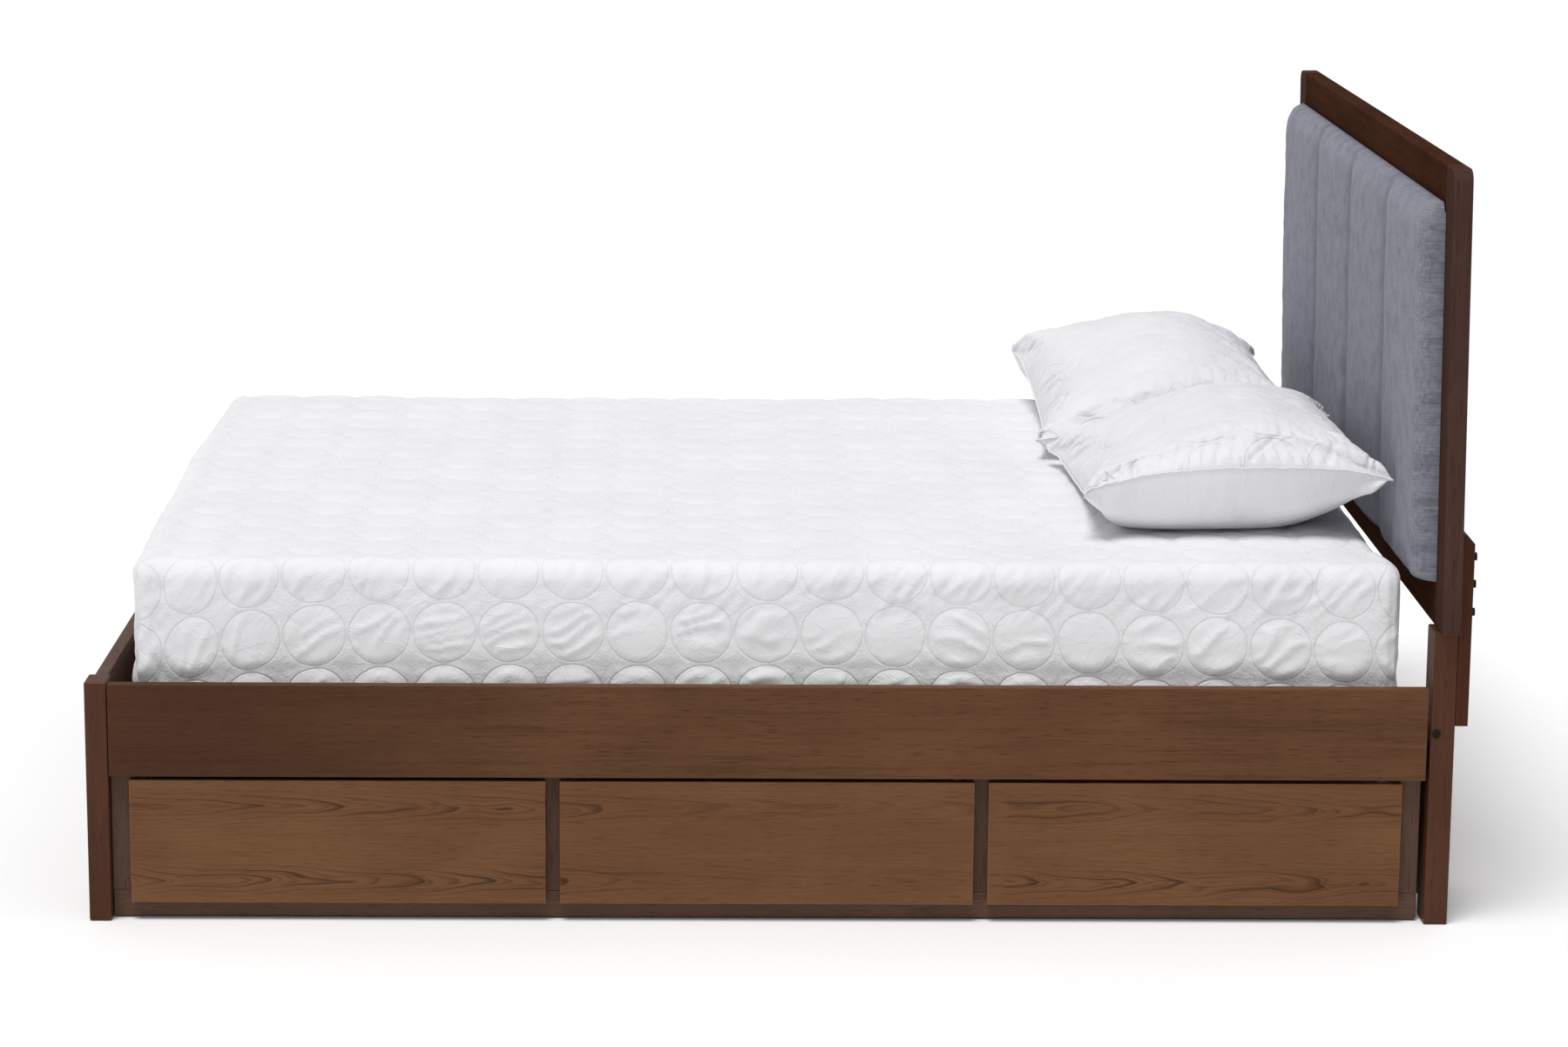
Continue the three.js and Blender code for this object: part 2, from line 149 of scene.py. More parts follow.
def tube(name, points, radius, material, sides=8, closed=True):
    """A round welt along a line of points."""
    p = np.asarray(points, float)
    n = len(p)
    t = (np.roll(p, -1, 0) - np.roll(p, 1, 0)) if closed else np.gradient(p, axis=0)
    t /= np.linalg.norm(t, axis=1)[:, None]
    up = np.array([0, 0, 1.0])
    side = np.cross(t, up)
    side /= np.maximum(np.linalg.norm(side, axis=1)[:, None], 1e-9)
    nor = np.cross(side, t)
    verts = []
    for k in range(sides):
        a = 2 * math.pi * k / sides
        verts.append(p + radius * (math.cos(a) * side + math.sin(a) * nor))
    v = np.stack(verts, 1).reshape(-1, 3)
    faces = []
    for i in range(n if closed else n - 1):
        for k in range(sides):
            a, b = i * sides + k, i * sides + (k + 1) % sides
            c, d = ((i + 1) % n) * sides + (k + 1) % sides, ((i + 1) % n) * sides + k
            faces.append((a, d, c, b))
    if not closed:
        faces.append(tuple(range(sides)))
        faces.append(tuple((n - 1) * sides + k for k in reversed(range(sides))))
    return make(name, v, faces, material)


def recalc(o):
    bm = bmesh.new()
    bm.from_mesh(o.data)
    bmesh.ops.remove_doubles(bm, verts=bm.verts, dist=1e-6)
    bmesh.ops.recalc_face_normals(bm, faces=bm.faces)
    bm.to_mesh(o.data)
    bm.free()
    return o


# --------------------------------------------------------------------------------------------
# Shader helper
# --------------------------------------------------------------------------------------------


class Shader:
    def __init__(self, name):
        self.m = bpy.data.materials.new(name)
        self.m.use_nodes = True
        self.t = self.m.node_tree
        self.t.nodes.clear()
        self.out = self.t.nodes.new("ShaderNodeOutputMaterial")
        self.b = self.t.nodes.new("ShaderNodeBsdfPrincipled")
        self.t.links.new(self.b.outputs[0], self.out.inputs[0])
        self.obj = self.t.nodes.new("ShaderNodeTexCoord").outputs["Object"]

    def put(self, sock, v):
        if isinstance(v, bpy.types.NodeSocket):
            self.t.links.new(v, sock)
        else:
            sock.default_value = v

    def node(self, kind, ins=None, **props):
        n = self.t.nodes.new("ShaderNode" + kind)
        for k, v in props.items():
            setattr(n, k, v)
        for k, v in (ins or {}).items():
            self.put(n.inputs[k], v)
        return n

    def math(self, op, a, b=0.0, c=0.0, clamp=False):
        n = self.node("Math", {0: a, 1: b, 2: c}, operation=op)
        n.use_clamp = clamp
        return n.outputs[0]

    def vmath(self, op, a, b=(0, 0, 0)):
        n = self.node("VectorMath", {0: a, 1: b}, operation=op)
        return n.outputs["Value" if op in ("LENGTH", "DOT_PRODUCT", "DISTANCE") else "Vector"]

    def scaled(self, v, s):
        return self.vmath("MULTIPLY", v, s)

    def noise(self, v, scale, detail=2.0, rough=0.5, distort=0.0):
        return self.node(
            "TexNoise", {"Vector": v, "Scale": scale, "Detail": detail, "Roughness": rough, "Distortion": distort}
        ).outputs[0]

    def mix(self, fac, a, b, kind="MIX"):
        n = self.t.nodes.new("ShaderNodeMix")
        n.data_type, n.blend_type = "RGBA", kind
        self.put(n.inputs[0], fac)
        self.put(n.inputs[6], (*a, 1.0) if isinstance(a, tuple) and len(a) == 3 else a)
        self.put(n.inputs[7], (*b, 1.0) if isinstance(b, tuple) and len(b) == 3 else b)
        return n.outputs[2]

    def ramp(self, fac, lo, hi, a=0.0, b=1.0):
        n = self.node("MapRange", {0: fac, 1: lo, 2: hi, 3: a, 4: b})
        n.interpolation_type = "SMOOTHSTEP"
        return n.outputs[0]

    def split(self, v):
        n = self.node("SeparateXYZ", {0: v})
        return n.outputs

    def join(self, x, y, z):
        return self.node("CombineXYZ", {0: x, 1: y, 2: z}).outputs[0]

    def bump(self, height, strength, distance=0.001, normal=None):
        ins = {"Strength": strength, "Distance": distance, "Height": height}
        if normal is not None:
            ins["Normal"] = normal
        return self.node("Bump", ins).outputs[0]

    def set(self, **kw):
        for k, v in kw.items():
            self.put(self.b.inputs[k.replace("_", " ")], v)
        return self.m


AXES = {"x": 0, "y": 1, "z": 2}


def wood(name, axis, base, dark, light, rough=0.46, spec=0.08, pores=1.0, streak=1.0, seed=0.0, cathedral=None, painted_shade_fade=None, edge=0.42):
    """Stained open-grain wood. The grain runs along axis; cathedral = heights of the arch lines on a front;
    painted_shade_fade = (lo, hi, darkest) along Y: painted shade darkening the colour towards lo.
    """
    s = Shader(name)
    i = AXES[axis]
    co = s.vmath("ADD", s.obj, (seed, seed * 1.7, seed * 0.6))

    def stretched(k, across=1.0):
        v = [across] * 3
        v[i] = k
        return s.scaled(co, tuple(v))

    tone = s.noise(stretched(0.5), 7.0, 2.0, 0.55)
    bands = s.noise(stretched(0.03), 95.0, 3.0, 0.62, 0.4)
    fibre = s.noise(stretched(0.016), 520.0, 2.0, 0.6)
    pore = s.ramp(s.noise(stretched(0.05), 620.0, 1.0, 0.4), 0.60, 0.70)
    col = s.mix(s.ramp(tone, 0.28, 0.74), dark, light)
    col = s.mix(0.55, col, base)
    band = s.ramp(bands, 0.50, 0.72)
    col = s.mix(s.math("MULTIPLY", band, 0.50 * streak), col, dark)
    glow = s.ramp(bands, 0.44, 0.30)
    col = s.mix(s.math("MULTIPLY", glow, 0.30 * streak), col, light)
    ring = None
    if cathedral:
        xyz = s.split(s.obj)
        z, y = xyz[2], xyz[1]
        d = None
        for zc in cathedral:
            e = s.math("ABSOLUTE", s.math("SUBTRACT", z, zc))
            d = e if d is None else s.math("MINIMUM", d, e)
        drift = s.math("MULTIPLY", s.math("SUBTRACT", s.noise(s.scaled(co, (0.0, 1.0, 3.0)), 2.6, 1.0), 0.5), 0.016)
        d = s.math("ABSOLUTE", s.math("ADD", d, drift))
        # growth rings cut as nested arches whose tips point towards the head of the bed
        q = s.math("DIVIDE", s.math("MULTIPLY", d, d), s.math("ADD", 0.0012, s.math("MULTIPLY", d, 0.036)))
        g = s.math("MULTIPLY", s.math("ADD", y, q), 7.0)
        wob = s.noise(s.scaled(co, (0.0, 3.4, 15.0)), 1.5, 2.0, 0.45)
        g = s.math("ADD", g, s.math("MULTIPLY", wob, 3.4))
        fr = s.math("FRACT", g)
        fr2 = s.math("FRACT", s.math("MULTIPLY", g, 2.7))
        line = s.math("MULTIPLY", s.ramp(fr, 0.62, 0.94), s.ramp(fr, 1.0, 0.96))
        line2 = s.math("MULTIPLY", s.ramp(fr2, 0.45, 0.9), s.ramp(fr2, 1.0, 0.93))
        line = s.math("MAXIMUM", line, s.math("MULTIPLY", line2, 0.5))
        near = s.ramp(d, 0.034, 0.004)
        patch = s.ramp(s.noise(s.scaled(co, (0.0, 1.0, 6.0)), 4.2, 2.0), 0.34, 0.60)
        calm = s.math("MULTIPLY", s.ramp(y, -0.27, -0.16), s.ramp(y, 0.36, 0.34))
        amount = s.math("ADD", s.math("MULTIPLY", s.math("MULTIPLY", near, 0.95), s.math("ADD", 0.30, s.math("MULTIPLY", patch, 0.60))), 0.20)
        amount = s.math("MULTIPLY", amount, s.math("SUBTRACT", 1.0, s.math("MULTIPLY", calm, 0.55)))
        ring = s.math("MULTIPLY", line, amount)
        col = s.mix(ring, col, tuple(c * 0.52 for c in dark))
    col = s.mix(s.math("MULTIPLY", s.ramp(fibre, 0.38, 0.66), 0.20 * streak), col, light)
    col = s.mix(s.math("MULTIPLY", pore, 0.40 * pores), col, tuple(c * 0.45 for c in dark))
    # painted shade: the colour darkens towards low Y, standing in for the fall of light along the part
    if painted_shade_fade:
        yy = s.split(s.obj)[1]
        f = s.ramp(s.math("ADD", yy, s.math("MULTIPLY", tone, 0.25)), painted_shade_fade[0], painted_shade_fade[1], painted_shade_fade[2], 0.0)
        col = s.mix(f, col, tuple(c * 0.55 for c in dark))
    # slightly paler arrises: partly edge wear, partly a painted highlight along the edges (edge sets its strength)
    bev = s.node("Bevel", {"Radius": 0.0022}, samples=4).outputs[0]
    geo = s.node("NewGeometry").outputs["Normal"]
    rim = s.math("SUBTRACT", 1.0, s.vmath("DOT_PRODUCT", bev, geo), clamp=True)
    rim = s.math("MULTIPLY", s.ramp(rim, 0.015, 0.16), s.ramp(s.noise(s.obj, 30.0, 3.0), 0.25, 0.6))
    col = s.mix(s.math("MULTIPLY", rim, edge), col, tuple(min(1, c * 1.9) for c in light))
    h = s.math("ADD", s.math("MULTIPLY", pore, -0.9), s.math("MULTIPLY", fibre, 0.5))
    h = s.math("ADD", h, s.math("MULTIPLY", bands, 0.25))
    if ring is not None:
        h = s.math("SUBTRACT", h, s.math("MULTIPLY", ring, 0.3))
    r = s.math("ADD", rough - 0.06, s.math("MULTIPLY", s.noise(stretched(0.1), 60.0, 2.0), 0.14))
    r = s.math("ADD", r, s.math("MULTIPLY", pore, 0.12))
    return s.set(Base_Color=col, Roughness=r, Specular_IOR_Level=spec, Normal=s.bump(h, 0.30, 0.0004))


DARK = dict(base=(0.116, 0.051, 0.0240), dark=(0.078, 0.0325, 0.0155), light=(0.158, 0.073, 0.0350))
RED = dict(base=(0.078, 0.0295, 0.0145), dark=(0.052, 0.0185, 0.0095), light=(0.112, 0.0440, 0.0220), spec=0.12, rough=0.36)
# recessed face frame (stiles, base rail): a greyer, lighter copy of the walnut stain; the extra lightness is painted
# light against the shade of the recess
DEEP_PAINTED_LIGHT = dict(base=(0.111, 0.0635, 0.0428), dark=(0.083, 0.0460, 0.0310), light=(0.141, 0.0830, 0.0570))
# headboard rails: a darker copy of the walnut stain; the extra darkness is painted shade standing in for the shade on
# their front faces
HEAD_PAINTED_SHADE = dict(base=(0.050, 0.0210, 0.0125), dark=(0.032, 0.0130, 0.0080), light=(0.074, 0.0320, 0.0185), spec=0.0)
# the side rail carries painted shade that darkens it towards the foot end
wood_rail = wood("walnut_stain_rail", "y", seed=0.3, painted_shade_fade=(-0.80, 0.05, 0.62), streak=1.5, **DARK)
wood_y = wood("walnut_stain_long", "y", seed=0.8, **DARK)
wood_z = wood("walnut_stain_upright", "z", seed=1.1, **RED)
wood_x = wood("walnut_stain_cross", "x", seed=2.2, **RED)
wood_head_painted_shade = wood("walnut_stain_headboard", "x", seed=4.2, **HEAD_PAINTED_SHADE)
HSTILE = dict(base=(0.0615, 0.0317, 0.0252), dark=(0.041, 0.0199, 0.0165), light=(0.088, 0.0473, 0.0383), spec=0.0, rough=0.46)
LEG = dict(base=(0.062, 0.0213, 0.0109), dark=(0.042, 0.0133, 0.0071), light=(0.090, 0.0317, 0.0165), spec=0.06, rough=0.42)
wood_hstile = wood("walnut_stain_headboard_stile", "z", seed=5.1, **HSTILE)
wood_leg = wood("walnut_stain_leg", "z", seed=6.3, **LEG)
wood_base = wood("walnut_stain_base", "y", seed=2.9, **DEEP_PAINTED_LIGHT)
wood_stile = wood("walnut_stain_frame", "z", seed=3.3, **DEEP_PAINTED_LIGHT)
FRONT = dict(base=(0.166, 0.0765, 0.0345), dark=(0.124, 0.0540, 0.0240), light=(0.214, 0.1030, 0.0485))
# edge=0.9 draws a strong pale line round every arris of the drawer fronts: partly wear, partly a painted highlight
wood_front = wood("drawer_front_veneer", "y", seed=0.0, cathedral=(0.066, 0.184), pores=0.9, streak=0.75, edge=0.9, **FRONT)
PALE = dict(base=(0.60, 0.43, 0.26), dark=(0.46, 0.31, 0.17), light=(0.70, 0.53, 0.34), spec=0.35, rough=0.5, pores=0.35)
pale_x = wood("pale_wood_cross", "x", seed=0.9, **PALE)
pale_y = wood("pale_wood_long", "y", seed=1.9, **PALE)
PLY = dict(base=(0.56, 0.41, 0.26), dark=(0.44, 0.30, 0.18), light=(0.66, 0.50, 0.33), spec=0.3, rough=0.55, pores=0.5, streak=1.3)
ply_y = wood("plywood_sanded", "y", seed=3.7, **PLY)


def black_metal():
    s = Shader("blackened_steel")
    n = s.noise(s.obj, 260.0, 3.0)
    col = s.mix(s.ramp(n, 0.35, 0.7), (0.008, 0.0075, 0.007), (0.022, 0.020, 0.019))
    r = s.math("ADD", 0.4, s.math("MULTIPLY", n, 0.25))
    return s.set(Base_Color=col, Roughness=r, Metallic=0.0, Specular_IOR_Level=0.06, Normal=s.bump(n, 0.15, 0.0003))


steel = black_metal()


def weave_cloth():
    """Heathered blue-grey linen-look upholstery. UVs are metres on the face of the pad."""
    s = Shader("grey_weave")
    uv = s.node("UVMap", uv_map="cloth").outputs[0]
    xyz = s.split(uv)
    u, v = xyz[0], xyz[1]
    pitch = 0.0016
    k = 2 * math.pi / pitch
    jog = s.math("MULTIPLY", s.math("SUBTRACT", s.noise(s.scaled(uv, (1, 1, 1)), 140.0, 2.0), 0.5), 1.6)
    wu = s.math("SINE", s.math("ADD", s.math("MULTIPLY", u, k), jog))
    wv = s.math("SINE", s.math("ADD", s.math("MULTIPLY", v, k), jog))
    over = s.math("ADD", 0.5, s.math("MULTIPLY", s.math("MULTIPLY", wu, wv), 0.5))
    slub_v = s.noise(s.scaled(uv, (1.0, 0.16, 1.0)), 600.0, 2.0, 0.65)
    slub_u = s.noise(s.scaled(uv, (0.16, 1.0, 1.0)), 600.0, 2.0, 0.65)
    yarn = s.mix(over, s.node("CombineColor", {0: slub_v, 1: slub_v, 2: slub_v}).outputs[0], s.node("CombineColor", {0: slub_u, 1: slub_u, 2: slub_u}).outputs[0])
    fac = s.ramp(s.split(yarn)[0], 0.30, 0.70)
    col = s.mix(fac, (0.120, 0.124, 0.158), (0.290, 0.294, 0.350))
    fleck = s.ramp(s.noise(uv, 820.0, 1.0), 0.60, 0.74)
    col = s.mix(s.math("MULTIPLY", fleck, 0.35), col, (0.42, 0.43, 0.47))
    cloud = s.noise(uv, 26.0, 4.0, 0.62)
    col = s.mix(s.math("MULTIPLY", s.ramp(cloud, 0.38, 0.66), 0.30), col, (0.31, 0.315, 0.345))
    col = s.mix(s.math("MULTIPLY", s.ramp(cloud, 0.52, 0.32), 0.24), col, (0.10, 0.104, 0.13))
    # painted shade: the cloth darkens along the three sewn seams, where the valleys between the channels fall into
    # shade
    q = 0.7562 / 2
    seam_shade_dist = s.math("MINIMUM", s.math("ABSOLUTE", u), s.math("ABSOLUTE", s.math("SUBTRACT", s.math("ABSOLUTE", u), q)))
    seam_shade_dist = s.math("ADD", seam_shade_dist, s.math("MULTIPLY", s.math("SUBTRACT", s.noise(uv, 24.0, 2.0), 0.5), 0.012))
    col = s.mix(s.ramp(seam_shade_dist, 0.036, 0.002, 0.0, 0.40), col, (0.085, 0.088, 0.108))
    h = s.math("ADD", s.math("MULTIPLY", over, 0.6), s.math("MULTIPLY", fac, 0.5))
    return s.set(
        Base_Color=col,
        Roughness=s.math("ADD", 0.84, s.math("MULTIPLY", fac, 0.1)),
        Specular_IOR_Level=0.25,
        Sheen_Weight=0.10,
        Sheen_Roughness=0.5,
        Sheen_Tint=(0.85, 0.88, 1.0, 1.0),
        Normal=s.bump(h, 0.5, 0.0006),
    )


PITCH = 0.0995


def quilt_cloth(name, tint=(0.785, 0.787, 0.804), circles=True, crisp=1.0):
    """White microfibre quilted in rows of circles, with small concentric arcs between them. UVs are metres on the cloth, in units of which one circle cell is PITCH."""
    s = Shader(name)
    uv = s.node("UVMap", uv_map="cloth").outputs[0]
    fine = s.noise(uv, 900.0, 2.0, 0.6)
    crumple = s.noise(uv, 26.0, 4.0, 0.58, 0.6)
    crease = s.math("ABSOLUTE", s.math("SUBTRACT", s.noise(s.scaled(uv, (1.0, 1.0, 1.0)), 17.0, 3.0, 0.55, 1.2), 0.5))
    crease = s.ramp(crease, 0.05, 0.0)
    h = s.math("ADD", s.math("MULTIPLY", crumple, 1.3), s.math("MULTIPLY", crease, 0.35))
    h = s.math("ADD", h, s.math("MULTIPLY", fine, 0.03))
    line = None
    if circles:
        cell = s.vmath("SUBTRACT", s.vmath("FRACTION", s.scaled(uv, (1 / PITCH, 1 / PITCH, 0))), (0.5, 0.5, 0))
        cell = s.vmath("MULTIPLY", cell, (1, 1, 0))
        r = s.vmath("LENGTH", cell)
        # the stitch line round each circle, broken into stitches
        c = s.split(cell)
        ang = s.math("ARCTAN2", c[1], c[0])
        wander = s.math("MULTIPLY", s.math("SUBTRACT", s.noise(uv, 46.0, 2.0), 0.5), 0.035)
        ring = s.math("ABSOLUTE", s.math("SUBTRACT", s.math("ADD", r, wander), 0.476))
        line = s.ramp(ring, 0.020, 0.003)
        stitch = s.ramp(s.math("SINE", s.math("MULTIPLY", ang, 96.0)), -0.5, 0.3)
        # fans of arcs round the corners of each cell
        corner = s.vmath("LENGTH", s.vmath("SUBTRACT", s.vmath("ABSOLUTE", cell), (0.5, 0.5, 0)))
        arcs = s.math("SINE", s.math("MULTIPLY", corner, 95.0))
        out = s.ramp(r, 0.475, 0.51)
        blot = s.ramp(s.noise(uv, 75.0, 2.0), 0.35, 0.62)
        h = s.math("ADD", h, s.math("MULTIPLY", s.math("MULTIPLY", s.math("MULTIPLY", arcs, out), blot), 0.05))
        h = s.math("ADD", h, s.math("MULTIPLY", s.math("MULTIPLY", s.noise(uv, 210.0, 2.0, 0.6), out), 0.85))
        # short radial puckers on both sides of the stitching
        puck = s.noise(s.join(s.math("MULTIPLY", ang, 4.5), s.math("MULTIPLY", r, 1.5), s.noise(uv, 9.0, 0.0)), 3.6, 2.0, 0.6)
        nearline = s.ramp(ring, 0.13, 0.0)
        h = s.math("ADD", h, s.math("MULTIPLY", s.math("MULTIPLY", puck, nearline), 0.9))
        # the lines are made fainter where the cloth faces up and full on the sides, as their shade falls
        up = s.split(s.node("NewGeometry").outputs["Normal"])[2]
        line = s.math("MULTIPLY", line, s.ramp(up, 0.96, 0.45, 0.38 * crisp, 1.0))
        h = s.math("SUBTRACT", h, s.math("MULTIPLY", line, s.math("ADD", 0.9, s.math("MULTIPLY", stitch, 0.5))))
    shade = s.ramp(s.noise(uv, 5.0, 2.0), 0.3, 0.7)
    col = s.mix(shade, tuple(c * 0.975 for c in tint), tuple(min(1, c * 1.02) for c in tint))
    if line is not None:
        # painted shade in the stitched grooves: the circle lines darken the cloth colour
        col = s.mix(s.math("MULTIPLY", line, 0.055 * crisp), col, tuple(c * 0.70 for c in tint))
    return s.set(
        Base_Color=col,
        Roughness=s.math("ADD", 0.70, s.math("MULTIPLY", fine, 0.2)),
        Specular_IOR_Level=0.25,
        Sheen_Weight=0.18,
        Sheen_Roughness=0.5,
        Normal=s.bump(h, 0.42, 0.0022),
    )


pad_cloth = weave_cloth()
quilt = quilt_cloth("white_quilt")
sham = quilt_cloth("white_sham_quilt", tint=(0.755, 0.755, 0.778), crisp=0.28)
# pillow underside: a lighter copy of the white cloth; the extra lightness is painted bounce light from the quilt below
underside_white_painted_bounce = quilt_cloth("white_plain_painted_bounce", tint=(0.87, 0.87, 0.888), circles=False)
ticking = quilt_cloth("mattress_ticking", tint=(0.66, 0.66, 0.66), circles=False)
binding = quilt_cloth("white_binding", tint=(0.76, 0.76, 0.775), circles=False)

# --------------------------------------------------------------------------------------------
# CAD nodes that stay: wood and metal
# --------------------------------------------------------------------------------------------


def finish_for(n):
    if n.startswith("drawer_"):
        if n.endswith("_front") and not n.endswith("box_front"):
            return wood_front, "drawer_front_veneer"
        if n.endswith("box_front") or n.endswith("back"):
            return pale_y, "pale_wood"
        if n.endswith("bottom"):
            return ply_y, "plywood"
        return pale_x, "pale_wood"
    if "bolt" in n:
        return steel, "black_steel"
    if n == "centre_divider":
        return ply_y, "plywood"
    if n.startswith("slat_ledge"):
        return pale_y, "pale_wood"
    if n == "slat_roll":
        return pale_x, "pale_wood"
    if n.startswith("side_rail"):
        return wood_rail, "walnut_stain"
    if n == "base_rail_right":
        return wood_base, "walnut_stain"
    if n.startswith("frame_stile"):
        return wood_stile, "walnut_stain"
    if n == "side_panel_left":
        return wood_y, "walnut_stain"
    if n in ("headboard_top_rail", "headboard_bottom_rail"):
        return wood_head_painted_shade, "walnut_stain"
    if n.startswith("headboard_stile"):
        return wood_hstile, "walnut_stain"
    if n.startswith("headboard_leg"):
        return wood_leg, "walnut_stain"
    if n in ("footboard_panel", "head_end_panel"):
        return wood_x, "walnut_stain"
    return wood_z, "walnut_stain"


for n, o in NODES.items():
    m, slot_name = finish_for(n)
    o.data.materials.clear()
    o.data.materials.append(m)
    for p in o.data.polygons:
        p.material_index = 0

# --------------------------------------------------------------------------------------------
# Bedding shapes
# --------------------------------------------------------------------------------------------


def quilt_puff(a, b, height=0.0030, seed=3, crease=None):
    """Outward swell of the quilting at cloth point (a, b): flat-topped circles, pinched stitch lines, folds and puckers.
    crease = (direction in radians, strength) of the folds inside each circle, as arrays over the cloth."""
    ca, cb = a / PITCH, b / PITCH
    ia, ib = np.floor(ca), np.floor(cb)
    da, db = ca - ia - 0.5, cb - ib - 0.5
    r = np.hypot(da, db)
    r0 = 0.476
    rnd = lambda k: _hash(ia.astype(int), ib.astype(int), seed * 31 + k)
    plateau = 1 - np.exp(-np.clip(r0 - r, 0, 1) / 0.055)
    dome = np.clip(1 - (r / r0) ** 2, 0, 1)
    inside = (0.72 + 0.18 * rnd(1)) * plateau + 0.45 * dome
    gap = 1 - np.exp(-np.clip(r - r0, 0, 1) / 0.05)
    outside = 0.50 * gap
    ang = np.arctan2(db, da)
    puck = noise2(ang * 5.5 + 9 * rnd(2), r * 3 + 4 * rnd(3), seed + 1)
    puck *= np.exp(-(((r - r0) / 0.13) ** 2)) * 0.30
    th, power = crease if crease is not None else (math.pi * rnd(4), 0.5)
    th = th + 0.30 * rnd(5)
    s = (da * np.sin(th) + db * np.cos(th)) * PITCH
    along = (da * np.cos(th) - db * np.sin(th)) * PITCH
    warp = 2.0 * noise2(s * 22 + 7 * rnd(6), along * 17 + 5 * rnd(7), seed + 4) + 0.6 * noise2(s * 60, along * 45 + 5 * rnd(7), seed + 14)
    wave = math.pi * s / (0.029 + 0.009 * rnd(8)) + warp + 3 * rnd(9)
    fold = (1 - np.abs(np.sin(wave))) ** 1.5 - 0.35
    where = smooth(-0.35, 0.45, noise2(s * 21 + 3 * rnd(10), along * 13 + 3 * rnd(11), seed + 6) + 0.45 * rnd(12))
    folds = fold * where * smooth(0.0, 0.16, r0 - r) * power
    slack = 0.35 * noise2(ia * 0.7 + da * 1.9 + 3, ib * 0.9 + db * 1.3, seed + 2) * dome
    return height * (np.where(r < r0, inside + slack, outside) + puck + 0.95 * folds)


